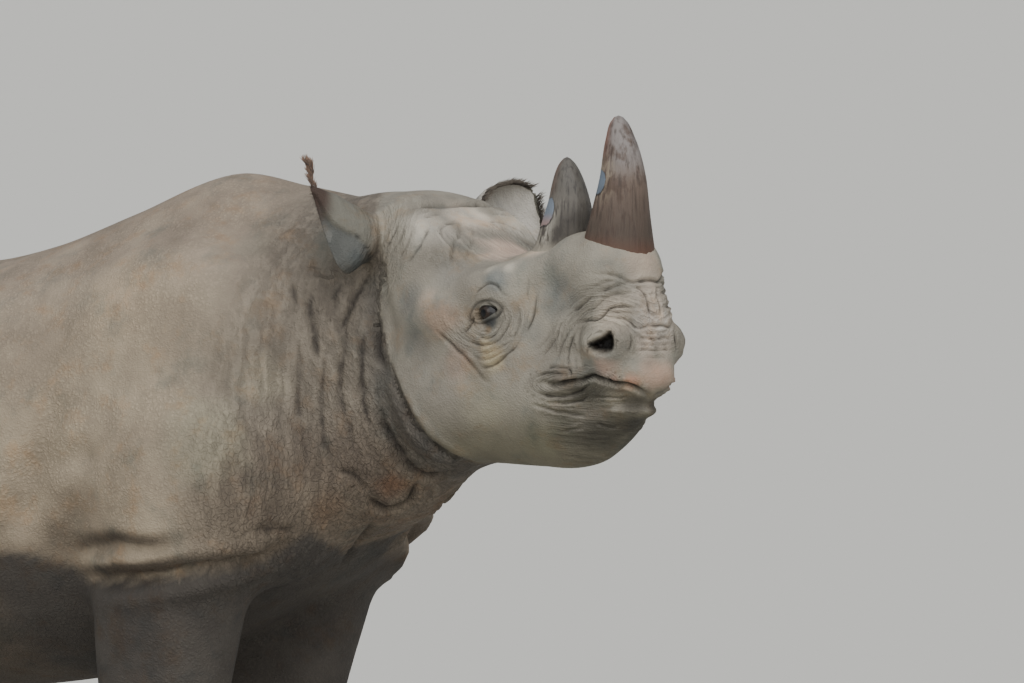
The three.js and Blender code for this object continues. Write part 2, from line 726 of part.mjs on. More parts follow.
// The locks lie along the rim, in the plane of the leaf. toEar turns a direction of the head into
// one of the ear.
function earFringe(form, side, tuftLength, toEar) {
  const roll = dice(side > 0 ? 71 : 29);
  const edges = [-1, 1].flatMap((edge) =>
    spread(fringe.from, fringe.to, fringe.locks).map((t) => {
      const rim = (at, share) => new THREE.Vector3(...earPoint(form, at, edge * share, 4));
      const root = rim(t, 0.95);
      const along = rim(t + 0.06, 0.95).sub(root).normalize();
      const outward = rim(t, 0.97).sub(rim(t, 0.8)).normalize();
      const face = new THREE.Vector3().crossVectors(along, outward);
      const way = along.multiplyScalar(0.8).addScaledVector(outward, 0.5 + 0.15 * roll());
      const length = fringe.length * (1 + 0.15 * roll());
      return lock(root.toArray(), way.toArray(), length, fringe.wide, face.multiplyScalar(0.16).toArray());
    }),
  );
  const way = new THREE.Vector3(...tipWay).applyMatrix4(toEar).toArray();
  const [x, y, z] = earPoint(form, 0.93, 0, 4);
  const tuft = [-1, 0, 1].map((k) => {
    const spreading = [way[0] + 0.12 * k, way[1] + 0.08 * k, way[2]];
    return lock([x + 2, y + 3 * k, z], spreading, tuftLength + 12, 8, [0.1, -0.1 * k, 0.02]);
  });
  return [...edges, ...tuft];
}

// ---------------------------------------------------------------- tail
const tailPath = new THREE.CatmullRomCurve3([
  new THREE.Vector3(-1000, 0, 1215),
  new THREE.Vector3(-1095, 0, 1160),
  new THREE.Vector3(-1140, 4, 1030),
  new THREE.Vector3(-1150, 10, 850),
  new THREE.Vector3(-1142, 14, 640),
]);
const bristleLength = 95;

function tailBristles() {
  const roll = dice(113);
  return spread(0.72, 1, 6).flatMap((t) =>
    [-1, 1].map((edge) => {
      const root = tailPath.getPoint(t).add(new THREE.Vector3(edge * 4, 0, 0));
      const way = [edge * (0.75 - 0.5 * t), 0.15 * roll(), -1];
      return lock(root.toArray(), way, bristleLength * (0.9 + 0.2 * roll()), 9, [-0.25 * edge, 0, -0.1]);
    }),
  );
}

// ---------------------------------------------------------------- the animal
const animal = new THREE.Group();

function add(name, geometry, color, roughness = 0.85) {
  const finish = new THREE.MeshStandardMaterial({ color, roughness, metalness: 0 });
  const mesh = new THREE.Mesh(geometry, finish);
  mesh.name = name;
  animal.add(mesh);
}

const inBody = (geometry) => geometry.applyMatrix4(headPose);
const sides = { right: -1, left: 1 };

add("torso", torsoShell, colours.hide);
add("neck", neckShell, colours.hide);

// Lids and nostrils are added to the head, then the eyes, nostrils and mouth are cut out.
let headSolid = solidOf(headShell);
const lipLine = (t) => {
  const share = Math.sin(Math.PI * t) ** 0.3;
  return [10 * share + 1, 4.2 * share + 0.6];
};
const mouth = tube(mouthCurve(), lipLine, { sides: 6, steps: 24, back: [0, 0, 1] });
headSolid = headSolid.subtract(solidOf(inBody(mouth)));
for (const [sideName, side] of Object.entries(sides)) {
  const ball = new THREE.SphereGeometry(eyeRadius, 16, 10).rotateX(90 * deg);
  ball.translate(eyePlace[0], side * eyePlace[1], eyePlace[2]);
  inBody(ball);
  const upper = (t) => Math.max(Math.sin(2 * Math.PI * t), 0); // 1 in the middle of the upper lid
  const lid = hoop(almond(side, 1, eyeRadius + 2), (t) => 5 + 2.5 * upper(t), { sides: 5, steps: 18 });
  const fold = hoop(almond(side, 1.75, eyeRadius), (t) => 6 + 3 * upper(t), { sides: 4, steps: 14 });
  headSolid = headSolid.add(solidOf(inBody(lid))).add(solidOf(inBody(fold))).subtract(swollen(ball));
  add(`eye_${sideName}`, ball, colours.eye, 0.15);

  const rim = hoop(nostrilLine(side), (t) => 7 + 3 * Math.max(Math.sin(2 * Math.PI * (t - 0.1)), 0), {
    sides: 5,
    steps: 16,
  });
  const pit = new THREE.SphereGeometry(1, 14, 10).scale(24, 48, 18);
  pit.rotateY(-24 * deg);
  pit.rotateZ(side * 20 * deg);
  pit.translate(nostril[0] - 2, side * 72, nostril[1] - 1);
  headSolid = headSolid.add(solidOf(inBody(rim))).subtract(solidOf(inBody(pit)));
}
add("head", geometryOf(largest(headSolid)), colours.face);

const headClear = swollen(headShell);
for (const name of ["front", "rear"]) {
  const cut = solidOf(inBody(horn(name))).subtract(headClear);
  add(`horn_${name}`, geometryOf(largest(cut)), colours.horn, 0.6);
}

const neckClear = swollen(neckShell);
const earRoot = [26, 116, 264];
const earAxes = { right: [-0.22, -0.85, 0.45], left: [0.05, 0.85, 0.49] };
const earOpens = { right: [-0.75, 0.1, -0.65], left: [0.92, -0.2, 0.34] };
for (const [sideName, side] of Object.entries(sides)) {
  const axis = new THREE.Vector3(...earAxes[sideName]).normalize();
  const open = new THREE.Vector3(...earOpens[sideName]);
  open.addScaledVector(axis, -open.dot(axis)).normalize();
  const across = new THREE.Vector3().crossVectors(axis, open);
  const form = { length: earLength[sideName], at: smoothRows(earRows[sideName]) };
  const place = new THREE.Matrix4().makeBasis(open, across, axis);
  const locks = earFringe(form, side, tipTuft[sideName], place.clone().invert());
  const fringed = joined(earLeaf(form), locks);
  place.setPosition(earRoot[0], side * earRoot[1], earRoot[2]).premultiply(headPose);
  const cut = solidOf(geometryOf(fringed).applyMatrix4(place)).subtract(headClear).subtract(neckClear);
  add(`ear_${sideName}`, geometryOf(largest(cut)), colours.ear);
}

const torsoClear = swollen(torsoShell);
// how far each leg stands ahead, whole and at its foot
const strides = {
  fore: { right: [12, 10], left: [-85, -10] },
  hind: { right: [-10, -40], left: [10, 45] },
};
const ground = solidOf(new THREE.BoxGeometry(6000, 6000, 6000).translate(0, 0, 3000));
for (const [pair, rows] of Object.entries({ fore: foreRows, hind: hindRows })) {
  for (const [sideName, side] of Object.entries(sides)) {
    const { body, nails } = leg(rows, side, strides[pair][sideName], legSpread[pair]);
    add(`${pair}leg_${sideName}`, geometryOf(largest(solidOf(body).subtract(torsoClear))), colours.legs);
    const clear = swollen(body);
    nails.forEach((plate, i) => {
      const place = ["outer", "middle", "inner"][side > 0 ? 2 - i : i];
      const cut = solidOf(plate).subtract(clear).intersect(ground);
      add(`${pair}nail_${sideName}_${place}`, geometryOf(largest(cut)), colours.nail, 0.6);
    });
  }
}

const tail = tube(tailPath, (t) => [44 * (1 - t) ** 1.3 + 13, 40 * (1 - t) ** 1.3 + 12], {
  sides: 12,
  steps: 14,
  back: [0, 1, 0],
});
add("tail", geometryOf(largest(joined(tail, tailBristles()).subtract(torsoClear))), colours.legs);

// ---------------------------------------------------------------- origin
// On the ground, under the middle of the box.
animal.updateMatrixWorld(true);
const middle = new THREE.Box3().setFromObject(animal).getCenter(new THREE.Vector3());
animal.position.set(-middle.x, -middle.y, 0);
const rhinoceros = new THREE.Group();
rhinoceros.add(animal);
export default rhinoceros;
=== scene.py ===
import math

import bmesh
import bpy
import numpy as np
from mathutils import Matrix, Vector
from mathutils.bvhtree import BVHTree


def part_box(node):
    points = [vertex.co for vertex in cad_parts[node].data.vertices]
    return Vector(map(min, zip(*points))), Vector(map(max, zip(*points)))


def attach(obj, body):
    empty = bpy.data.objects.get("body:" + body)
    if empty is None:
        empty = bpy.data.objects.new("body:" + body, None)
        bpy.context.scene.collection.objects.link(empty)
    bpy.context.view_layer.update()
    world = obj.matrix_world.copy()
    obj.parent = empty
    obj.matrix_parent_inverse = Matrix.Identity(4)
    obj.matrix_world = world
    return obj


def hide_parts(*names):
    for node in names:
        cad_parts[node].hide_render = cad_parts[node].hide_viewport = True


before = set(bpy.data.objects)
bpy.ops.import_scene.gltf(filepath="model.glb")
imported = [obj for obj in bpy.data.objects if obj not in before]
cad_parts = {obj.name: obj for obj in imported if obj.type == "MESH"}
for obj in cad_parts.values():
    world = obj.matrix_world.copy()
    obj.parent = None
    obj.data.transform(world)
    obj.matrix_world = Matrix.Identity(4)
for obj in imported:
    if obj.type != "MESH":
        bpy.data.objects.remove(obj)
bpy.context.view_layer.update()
deg = math.pi / 180

# the head on its neck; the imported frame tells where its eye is
skull = {
    "pivot": (1078, 0, 1121),  # where the head turns on the neck
    "turn": 8,  # degrees, to its right
    "eye": (322, 107, 143),  # in the head's frame
    "eyeRadius": 23,
    "lip": 620,  # pivot to the tip of the upper lip
}


def headToBody(p):
    p = np.atleast_2d(np.asarray(p, float))
    c, s = math.cos(skull["turn"] * deg), math.sin(skull["turn"] * deg)
    x = skull["pivot"][0] + c * p[:, 0] + s * p[:, 1]
    y = skull["pivot"][1] - s * p[:, 0] + c * p[:, 1]
    return np.stack([x, y, skull["pivot"][2] + p[:, 2]], 1)


def bodyToHead(p):
    p = np.atleast_2d(np.asarray(p, float)) - skull["pivot"]
    c, s = math.cos(skull["turn"] * deg), math.sin(skull["turn"] * deg)
    return np.stack([c * p[:, 0] - s * p[:, 1], s * p[:, 0] + c * p[:, 1], p[:, 2]], 1)


def middleOf(node):
    low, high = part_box(node)
    return np.array((low + high) / 2)


eyeAtRest = headToBody([skull["eye"][0], -skull["eye"][1], skull["eye"][2]])[0]
shift = middleOf("eye_right") - eyeAtRest / 1000  # from the animal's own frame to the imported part


def toScene(p):
    return np.asarray(p, float) / 1000 + shift


# camera
cameraFacts = {
    "azimuth": 40,  # degrees round from the animal's right side
    "elevation": 1.5,
    "target": (1035, 314, 1199),
    "distance": 24,  # metres
    "width": 1.829,  # metres across the picture at that distance
}


def makeCamera(facts):
    a, e = facts["azimuth"] * deg, facts["elevation"] * deg
    back = Vector((math.sin(a) * math.cos(e), -math.cos(a) * math.cos(e), math.sin(e)))
    data = bpy.data.cameras.new("hallCamera")
    data.sensor_width = 36
    data.lens = data.sensor_width * facts["distance"] / facts["width"]
    data.clip_end = 6000
    camera = bpy.data.objects.new("hallCamera", data)
    camera.location = Vector(toScene(facts["target"])) + back * facts["distance"]
    camera.rotation_mode = "QUATERNION"
    camera.rotation_quaternion = (-back).to_track_quat("-Z", "Y")
    bpy.context.scene.collection.objects.link(camera)
    bpy.context.scene.camera = camera
    bpy.context.view_layer.update()


makeCamera(cameraFacts)
print("camera set")


# fields: each form is below 0 inside, and grows about as the distance does
def smoothMin(a, b, soft):
    near = np.maximum(soft - np.abs(a - b), 0) / soft
    return np.minimum(a, b) - near * near * soft / 4


def smoothStep(low, high, value):
    t = np.clip((value - low) / (high - low), 0, 1)
    return t * t * (3 - 2 * t)


def noiseAt(p, cell, seed=0):
    # smooth noise from -1 to 1 that turns over about once a cell
    q = np.asarray(p, float) / cell + 13.7 * seed
    corner = np.floor(q).astype(np.int64)
    f = q - corner
    f = f * f * (3 - 2 * f)
    total = np.zeros(len(q))
    # each corner's whole numbers are stirred to a value of its own
    for n in range(8):
        bit = np.array([n & 1, n >> 1 & 1, n >> 2 & 1])
        key = (corner + bit) @ np.array([73856093, 19349663, 83492791])
        key = ((key ^ (key >> 13)) * 1274126177) & 0xFFFFFFFF
        value = ((key ^ (key >> 15)) & 0xFFFF) / 32767.5 - 1
        total += value * np.prod(np.where(bit, f, 1 - f), axis=1)
    return total


def smoothRows(rows):
    rows = np.array(rows, float)
    key, values = rows[:, 0], rows[:, 1:]
    before = np.maximum(np.arange(len(key)) - 1, 0)
    after = np.minimum(np.arange(len(key)) + 1, len(key) - 1)
    slopes = (values[after] - values[before]) / (key[after] - key[before])[:, None]

    def at(s):
        s = np.clip(np.atleast_1d(np.asarray(s, float)), key[0], key[-1])
        i = np.clip(np.searchsorted(key, s, side="left") - 1, 0, len(key) - 2)
        step = (key[i + 1] - key[i])[:, None]
        t = (s - key[i])[:, None] / step
        rise = values[i + 1] - values[i]
        start, end = slopes[i] * step, slopes[i + 1] * step
        made = values[i] + t * (start + t * (3 * rise - 2 * start - end + t * (start + end - 2 * rise)))
        return made.T

    return at


def barrel(rows, square=2.2):
    at = smoothRows(rows)
    first, last = rows[0][0], rows[-1][0]

    def form(p):
        top, bottom, half, crown = at(p[:, 0])
        height = (top - bottom) / 2
        rise = (p[:, 2] - (top + bottom) / 2) / height
        power = np.where(rise > 0, crown, square)
        share = (np.abs(p[:, 1] / half) ** power + np.abs(rise) ** power) ** (1 / power)
        value = (share - 1) * np.minimum(half, height)
        past = np.maximum(first - p[:, 0], p[:, 0] - last)
        return np.minimum(np.maximum(value, past), 0) + np.hypot(np.maximum(value, 0), np.maximum(past, 0))

    return form


def column(rows, square=2.15):
    at = smoothRows(rows)
    top = rows[-1][0]

    def form(p):
        cx, cy, length, width = at(p[:, 2])
        share = np.abs((p[:, 0] - cx) / length) ** square + np.abs((p[:, 1] - cy) / width) ** square
        return np.maximum((share ** (1 / square) - 1) * np.minimum(length, width), p[:, 2] - top)

    return form


def turnOf(yaw, pitch, roll):
    turn = Matrix.Rotation(yaw * deg, 3, "Z") @ Matrix.Rotation(pitch * deg, 3, "Y")
    return np.array(turn @ Matrix.Rotation(roll * deg, 3, "X"))


def egg(centre, radii, lean=(0, 0, 0)):
    turn, radii = turnOf(*lean), np.array(radii, float)

    def form(p):
        v = (p - centre) @ turn
        near = np.linalg.norm(v / radii, axis=1)
        slope = np.linalg.norm(v / radii**2, axis=1)
        return near * (near - 1) / np.maximum(slope, 1e-9)

    return form


def limb(a, ra, b, rb):
    a, d = np.array(a, float), np.array(b, float) - np.array(a, float)

    def form(p):
        t = np.clip((p - a) @ d / (d @ d), 0, 1)
        return np.linalg.norm(p - a - t[:, None] * d, axis=1) - (ra + t * (rb - ra))

    return form


def flesh(core, masses):
    # each mass is (form, softness, words), the words "both" for a pair and "hollow" for one taken away
    def form(p):
        value = core(p)
        for mass, soft, words in masses:
            for flip in (1, -1) if "both" in words else (1,):
                there = mass(p * (1, flip, 1))
                cut = "hollow" in words
                value = -smoothMin(-value, there, soft) if cut else smoothMin(value, there, soft)
        return value

    return form


# trunk and neck
trunkRows = [
    # x, top, bottom, half width, crown
    (-1090, 1150, 900, 60, 2.2),
    (-1045, 1240, 790, 190, 2.1),
    (-950, 1335, 700, 285, 2),
    (-790, 1400, 640, 350, 1.9),
    (-570, 1425, 602, 405, 1.85),
    (-300, 1385, 572, 448, 1.95),
    (-60, 1347, 556, 464, 2.05),
    (110, 1340, 562, 460, 2.05),
    (310, 1378, 584, 430, 1.95),
    (480, 1438, 615, 385, 1.8),
    (660, 1500, 680, 330, 1.7),
    (810, 1482, 770, 285, 1.75),
    (940, 1462, 855, 238, 1.9),
    (1060, 1446, 905, 172, 2.1),
    (1160, 1430, 955, 128, 2.2),
    (1260, 1380, 1010, 110, 2.2),
]


def shoulder(side, ahead):
    return [
        (egg([690 + ahead, side * 222, 1120], [215, 118, 255], [0, 14, 0]), 80, ""),  # blade
        (limb([900 + ahead / 2, side * 150, 960], 96, [990, side * 40, 1010], 96), 90, ""),  # breast
        (egg([755 + ahead, side * 262, 938], [188, 132, 180], [0, -6, 0]), 100, ""),  # upper arm
        (egg([840 + ahead, side * 120, 890], [108, 120, 112]), 70, ""),  # brisket
    ]


trunkField = flesh(
    barrel(trunkRows),
    [
        *shoulder(-1, 15),
        *shoulder(1, -80),
        (egg([-640, 262, 1100], [280, 150, 265], [0, -15, 0]), 100, "both"),  # haunch
        (egg([-900, 165, 1000], [190, 145, 250]), 80, "both"),  # buttock
        (limb([-430, 262, 780], 85, [-250, 310, 670], 55), 110, "both"),  # flank fold
        (egg([1040, 0, 1402], [90, 108, 62]), 46, ""),  # nape
    ],
)

# head, in its own frame
headRows = [
    (-40, 290, 60, 50, 2.3),
    (0, 316, 0, 84, 2.3),
    (50, 326, -60, 114, 2.3),
    (110, 317, -104, 134, 2.2),
    (190, 285, -122, 143, 2.2),
    (270, 246, -126, 138, 2.4),
    (350, 236, -128, 120, 2.5),
    (430, 238, -128, 104, 2.4),
    (500, 246, -106, 82, 2.3),
    (560, 226, -44, 70, 2.3),
    (604, 150, -4, 46, 2.3),
]
headField = flesh(
    barrel(headRows, 2.3),
    [
        (egg([302, 92, 178], [80, 44, 40], [-8, 4, 0]), 32, "both"),  # brow
        (limb([330, 88, 200], 24, [446, 54, 228], 25), 32, "both"),  # ridge from brow to horn
        (egg([174, 120, 140], [76, 46, 48], [8, 10, 0]), 40, "both"),  # cheek bone
        (egg([110, 90, 232], [105, 60, 88], [0, 20, 0]), 46, "both"),  # temple
        (egg([166, 94, -4], [132, 66, 116], [6, 26, 0]), 40, "both"),  # jaw muscle
        (egg([42, 0, 304], [60, 112, 42]), 40, ""),  # crest of the skull
        (limb([36, 70, 252], 50, [26, 116, 264], 38), 26, "both"),  # root of the ear
        (egg([244, 190, 66], [62, 30, 50]), 44, "both hollow"),  # below the cheek bone
        (egg([210, 84, 306], [72, 44, 34], [0, 24, 0]), 34, "both hollow"),  # temple pit
        (egg([324, 166, 143], [50, 30, 40], [0, -20, 0]), 24, "both hollow"),  # orbit
        (egg([521, 0, 216], [82, 85, 78]), 34, ""),  # boss under the front horn
        (egg([372, 0, 212], [78, 72, 44]), 34, ""),  # boss under the rear horn
        (egg([455, 0, 238], [46, 78, 48]), 24, ""),  # saddle between the horns
        (egg([566, 0, 148], [55, 69, 52]), 30, ""),  # bridge of the nose
        (egg([571, 0, 94], [54, 73, 70]), 30, ""),  # nose
        (egg([566, 62, 88], [48, 36, 42], [-10, -10, 0]), 20, "both"),  # wing of the nostril
        (egg([586, 0, 40], [49, 60, 40], [0, 16, 0]), 20, ""),  # upper lip
        (limb([590, 0, 30], 28, [597, 0, 11], 14), 14, ""),  # its hooked tip
        (egg([508, 60, 40], [72, 34, 26], [-14, 4, 0]), 20, "both"),  # side of the upper lip
        (egg([500, 0, -42], [71, 58, 40], [0, -16, 0]), 24, ""),  # chin
        (egg([559, 0, -24], [46, 48, 18]), 10, ""),  # lower lip
    ],
)

# legs
foreRows = [
    # height, centre x, centre y, half length, half width
    (0, 672, 0, 112, 98),
    (50, 668, 0, 112, 98),
    (110, 654, 0, 98, 88),
    (180, 642, 0, 84, 77),
    (270, 640, 0, 82, 74),
    (350, 642, 0, 92, 80),
    (430, 648, 0, 104, 89),
    (510, 655, 4, 112, 94),
    (620, 668, 8, 130, 106),
    (720, 684, 14, 146, 112),
    (820, 705, 16, 158, 108),
    (920, 715, 8, 158, 88),
]
hindRows = [
    (0, -738, 0, 108, 94),
    (50, -742, 0, 108, 94),
    (110, -754, 0, 94, 85),
    (180, -768, 0, 80, 75),
    (260, -780, 0, 78, 72),
    (350, -797, 0, 84, 75),
    (430, -812, 0, 98, 82),
    (510, -800, 2, 116, 92),
    (610, -755, 6, 154, 108),
    (720, -705, 8, 200, 124),
    (850, -680, 4, 235, 124),
    (960, -670, -10, 235, 100),
]
stance = {
    # rows, side, ahead as a whole and at the foot, foot to the middle line
    "foreleg_right": (foreRows, -1, 12, 10, 215),
    "foreleg_left": (foreRows, 1, -85, -10, 215),
    "hindleg_right": (hindRows, -1, -10, -40, 245),
    "hindleg_left": (hindRows, 1, 10, 45, 245),
}
toeAngles = {"outer": -58, "middle": 0, "inner": 58}


def placedRows(rows, side, whole, foot, away):
    return [
        (z, x + whole + foot * max(0, 1 - z / 900), side * (away + y), length, width)
        for z, x, y, length, width in rows
    ]


def legField(name):
    placed = placedRows(*stance[name])
    footX, footY, footLong, footWide = (v[0] for v in smoothRows(placed)(40))
    toes = []
    for angle in toeAngles.values():
        reach, half = (0.66, 41) if angle else (0.72, 48)
        x = footX + reach * footLong * math.cos(angle * deg)
        y = footY + reach * footWide * math.sin(angle * deg)
        toes.append((egg([x, y, 34], [44, half, 62], [angle, 0, 0]), 22, ""))
    return flesh(column(placed), toes)


legFields = {name: legField(name) for name in stance}
joins = {"neck": 26, "leg": 46}  # how softly the head and the legs run into the trunk


def bodyField(p):
    return smoothMin(trunkField(p), headField(bodyToHead(p)), joins["neck"])


def skinField(p):
    value = bodyField(p)
    for leg in legFields.values():
        value = smoothMin(value, leg(p), joins["leg"])
    return value


def slopeOf(field, p, reach=0.6):
    value = field(p)
    steps = [field(p + reach * np.eye(3)[k]) - value for k in range(3)]
    return value, np.stack(steps, 1) / reach


def settle(field, p, rounds=4):
    # moves points straight to where the field is 0
    for _ in range(rounds):
        value, slope = slopeOf(field, p)
        size = np.maximum((slope**2).sum(1), 0.04)
        p = p - np.clip(value / size, -25, 25)[:, None] * slope
    return p


def leaves(field, start, way, reach, step):
    # where rays from inside first leave a field
    near = np.zeros(len(start))
    inside = np.ones(len(start), bool)
    while inside.any() and near.max() < reach:
        far = near + step
        inside &= (field(start + far[:, None] * way) < 0) & (far < reach)
        near = np.where(inside, far, near)
    low, high = near, near + step
    for _ in range(9):
        middle = (low + high) / 2
        within = field(start + middle[:, None] * way) < 0
        low, high = np.where(within, middle, low), np.where(within, high, middle)
    return start + low[:, None] * way


# mesh helpers
def netOf(rings, start, end):
    # a closed net of rings between two end points, as points and faces
    count, around = rings.shape[:2]
    points = np.concatenate([[start], rings.reshape(-1, 3), [end]])
    last = len(points) - 1

    def at(i, j):
        return 1 + i * around + j % around

    faces = [(0, at(0, j + 1), at(0, j)) for j in range(around)]
    faces += [(last, at(count - 1, j), at(count - 1, j + 1)) for j in range(around)]
    for i in range(count - 1):
        faces += [(at(i, j), at(i, j + 1), at(i + 1, j + 1), at(i + 1, j)) for j in range(around)]
    return points, faces


def newMesh(name, points, faces):
    mesh = bpy.data.meshes.new(name)
    mesh.from_pydata([tuple(p) for p in points], [], faces)
    mesh.update()
    return mesh


def newObject(name, mesh):
    made = bpy.data.objects.new(name, mesh)
    bpy.context.scene.collection.objects.link(made)
    return made


def turnOut(mesh):
    # all faces outwards
    work = bmesh.new()
    work.from_mesh(mesh)
    bmesh.ops.recalc_face_normals(work, faces=work.faces)
    work.to_mesh(mesh)
    work.free()


def baked(thing):
    # the mesh of an object with its modifiers, which are then gone
    graph = bpy.context.evaluated_depsgraph_get()
    mesh = bpy.data.meshes.new_from_object(thing.evaluated_get(graph))
    thing.modifiers.clear()
    return mesh


def pointsOf(mesh):
    flat = np.empty(len(mesh.vertices) * 3, np.float32)
    mesh.vertices.foreach_get("co", flat)
    return flat.reshape(-1, 3).astype(float)


def setPoints(mesh, points):
    mesh.vertices.foreach_set("co", np.asarray(points, np.float32).ravel())
    mesh.update()


def setMarks(mesh, marks):
    # under each name a number, a vector or a colour for every point
    kinds = {1: ("FLOAT", "value"), 3: ("FLOAT_VECTOR", "vector"), 4: ("FLOAT_COLOR", "color")}
    for name, values in marks.items():
        values = np.asarray(values, np.float32)
        kind, key = kinds[values.size // len(mesh.vertices)]
        mesh.attributes.new(name, kind, "POINT").data.foreach_set(key, values.ravel())


def edgesOf(mesh):
    flat = np.empty(len(mesh.edges) * 2, np.int32)
    mesh.edges.foreach_get("vertices", flat)
    return flat.reshape(-1, 2)


def eased(points, edges, rounds, strength=0.5, weight=None):
    # each point moves towards the middle of its neighbours
    count = len(points)
    number = np.maximum(np.bincount(edges.ravel(), minlength=count), 1)
    share = strength if weight is None else strength * weight[:, None]
    for _ in range(rounds):
        total = np.zeros_like(points)
        for k in range(3):
            total[:, k] = np.bincount(edges[:, 0], points[edges[:, 1], k], count)
            total[:, k] += np.bincount(edges[:, 1], points[edges[:, 0], k], count)
        points = points + share * (total / number[:, None] - points)
    return points


def normalsOf(mesh):
    flat = np.empty(len(mesh.vertices) * 3, np.float32)
    mesh.vertices.foreach_get("normal", flat)
    return flat.reshape(-1, 3).astype(float)


# the rough body: one net from rump to lip, and a net for each leg
axisRows = [
    # stop, height of the spine, pitch (nose up) and turn to the right
    (-1100, 985, 0, 0),
    (420, 985, 0, 0),
    (700, 1050, 17, 0),
    (860, 1120, 27, 0),
    (960, 1165, 26, 2),
    (1060, 1190, 16, 5),
    (1140, 1188, 8, 8),
    (1260, 1178, 0, 8),
    (1800, 1170, 0, 8),
]


def spineAt(stops):
    height, pitch, turn = smoothRows(axisRows)(stops)
    up, right = pitch * deg, -turn * deg
    past = np.maximum(stops - skull["pivot"][0], 0)
    ahead = np.stack([np.cos(up) * np.cos(right), np.cos(up) * np.sin(right), np.sin(up)], 1)
    above = np.stack([-np.sin(up) * np.cos(right), -np.sin(up) * np.sin(right), np.cos(up)], 1)
    x = np.minimum(stops, skull["pivot"][0]) + past * math.cos(skull["turn"] * deg)
    return np.stack([x, -past * math.sin(skull["turn"] * deg), height], 1), ahead, above


roughNet = {
    "around": 64,
    "trunk": (-890, 900, 40),  # first stop, last stop and step along the spine
    "head": (900, 1600, 18),
    "lip": 1618,  # last stop of all
    "rumpTilts": (-80, -64, -48, -32, -16),  # the rays fan out past both ends
    "lipTilts": (14, 27.2, 40.4, 53.6, 66.8, 80),
    "reach": 900,
    "step": 14,
}


def roughBody():
    around = roughNet["around"]
    stops = np.concatenate([np.arange(*roughNet["trunk"]), np.arange(*roughNet["head"]), [roughNet["lip"]]])
    point, ahead, above = spineAt(stops)
    angle = np.linspace(0, 2 * np.pi, around, endpoint=False)
    side = np.cross(ahead, above)
    rings = []
    tilts = [(0, t) for t in roughNet["rumpTilts"]]
    tilts += [(i, 0) for i in range(len(stops))]
    tilts += [(len(stops) - 1, t) for t in roughNet["lipTilts"]]
    for i, tilt in tilts:
        way = np.cos(angle)[:, None] * above[i] + np.sin(angle)[:, None] * side[i]
        way = way * math.cos(tilt * deg) + ahead[i] * math.sin(tilt * deg)
        rings.append((np.repeat(point[i : i + 1], around, 0), way))
    start = np.concatenate([r[0] for r in rings] + [point[:1], point[-1:]])
    way = np.concatenate([r[1] for r in rings] + [-ahead[:1], ahead[-1:]])
    out = leaves(bodyField, start, way, roughNet["reach"], roughNet["step"])
    return netOf(out[:-2].reshape(-1, around, 3), out[-2], out[-1])


# heights in millimetres: the top ring below the leg's last row, the next one below that, and the lowest
roughLegNet = {"around": 36, "top": 60, "next": 30, "above": 20, "step": 22, "foot": [8, 0]}
roughLegNet.update(reach=400, ray=12)


def roughLeg(name):
    around = roughLegNet["around"]
    placed = placedRows(*stance[name])
    top = placed[-1][0] - roughLegNet["top"]
    shank = np.arange(top - roughLegNet["next"], roughLegNet["above"], -roughLegNet["step"])
    heights = np.concatenate([[top], shank, roughLegNet["foot"]])
    cx, cy, _, _ = smoothRows(placed)(heights)
    angle = np.linspace(0, 2 * np.pi, around, endpoint=False)
    start = np.repeat(np.stack([cx, cy, heights], 1), around, 0)
    way = np.tile(np.stack([np.cos(angle), np.sin(angle), 0 * angle], 1), (len(heights), 1))
    out = leaves(legFields[name], start, way, roughLegNet["reach"], roughLegNet["ray"])
    out = out.reshape(len(heights), around, 3)
    return netOf(out, out[0].mean(0), out[-1].mean(0))


# space away from the head is drawn in before the even remesh, so that the cells grow with distance
lens = {"centre": (1400, -40, 1175), "radius": 300, "fade": 0.5, "cell": 6.3}


def stretched(p):
    d = p - lens["centre"]
    r = np.maximum(np.linalg.norm(d, axis=1) / lens["radius"], 1)
    return lens["centre"] + d * (r ** (lens["fade"] - 1))[:, None]


def unstretched(p):
    d = p - lens["centre"]
    r = np.maximum(np.linalg.norm(d, axis=1) / lens["radius"], 1)
    return lens["centre"] + d * (r ** (1 / lens["fade"] - 1))[:, None]


def remeshed(nets):
    points, faces, start = [], [], 0
    for p, f in nets:
        points.append(stretched(p))
        faces += [tuple(i + start for i in face) for face in f]
        start += len(p)
    mesh = newMesh("roughSkin", np.concatenate(points), faces)
    turnOut(mesh)
    thing = newObject("roughSkin", mesh)
    modifier = thing.modifiers.new("cells", "REMESH")
    modifier.mode = "VOXEL"
    modifier.voxel_size = lens["cell"]
    made = baked(thing)
    bpy.data.objects.remove(thing)
    setPoints(made, unstretched(pointsOf(made)))
    return made


def makeSkinMesh():
    mesh = remeshed([roughBody(), *[roughLeg(name) for name in stance]])
    edges = edgesOf(mesh)
    p = pointsOf(mesh)
    for _ in range(3):
        p = settle(skinField, eased(p, edges, 2), 2)
    p[:, 2] = np.where(p[:, 2] < 6, 0, p[:, 2])
    setPoints(mesh, p)
    return mesh


# ears: rolled leaves with a thick rim
earShape = {
    "root": (26, 116, 264),
    "length": {"right": 147, "left": 158},
    "axis": {"right": (-0.22, -0.85, 0.45), "left": (0.05, 0.85, 0.49)},
    "open": {"right": (-0.75, 0.1, -0.65), "left": (0.92, -0.2, 0.34)},
    "wall": (9, 5),  # at the root and at the tip
    "rim": 3,  # how far the edge turns out
    "edge": 0.42,  # bulge of the edge, in walls
    "wave": 1.6,  # how uneven the leaf is
    "sunk": 0.35,  # part of the length that runs into the head
}
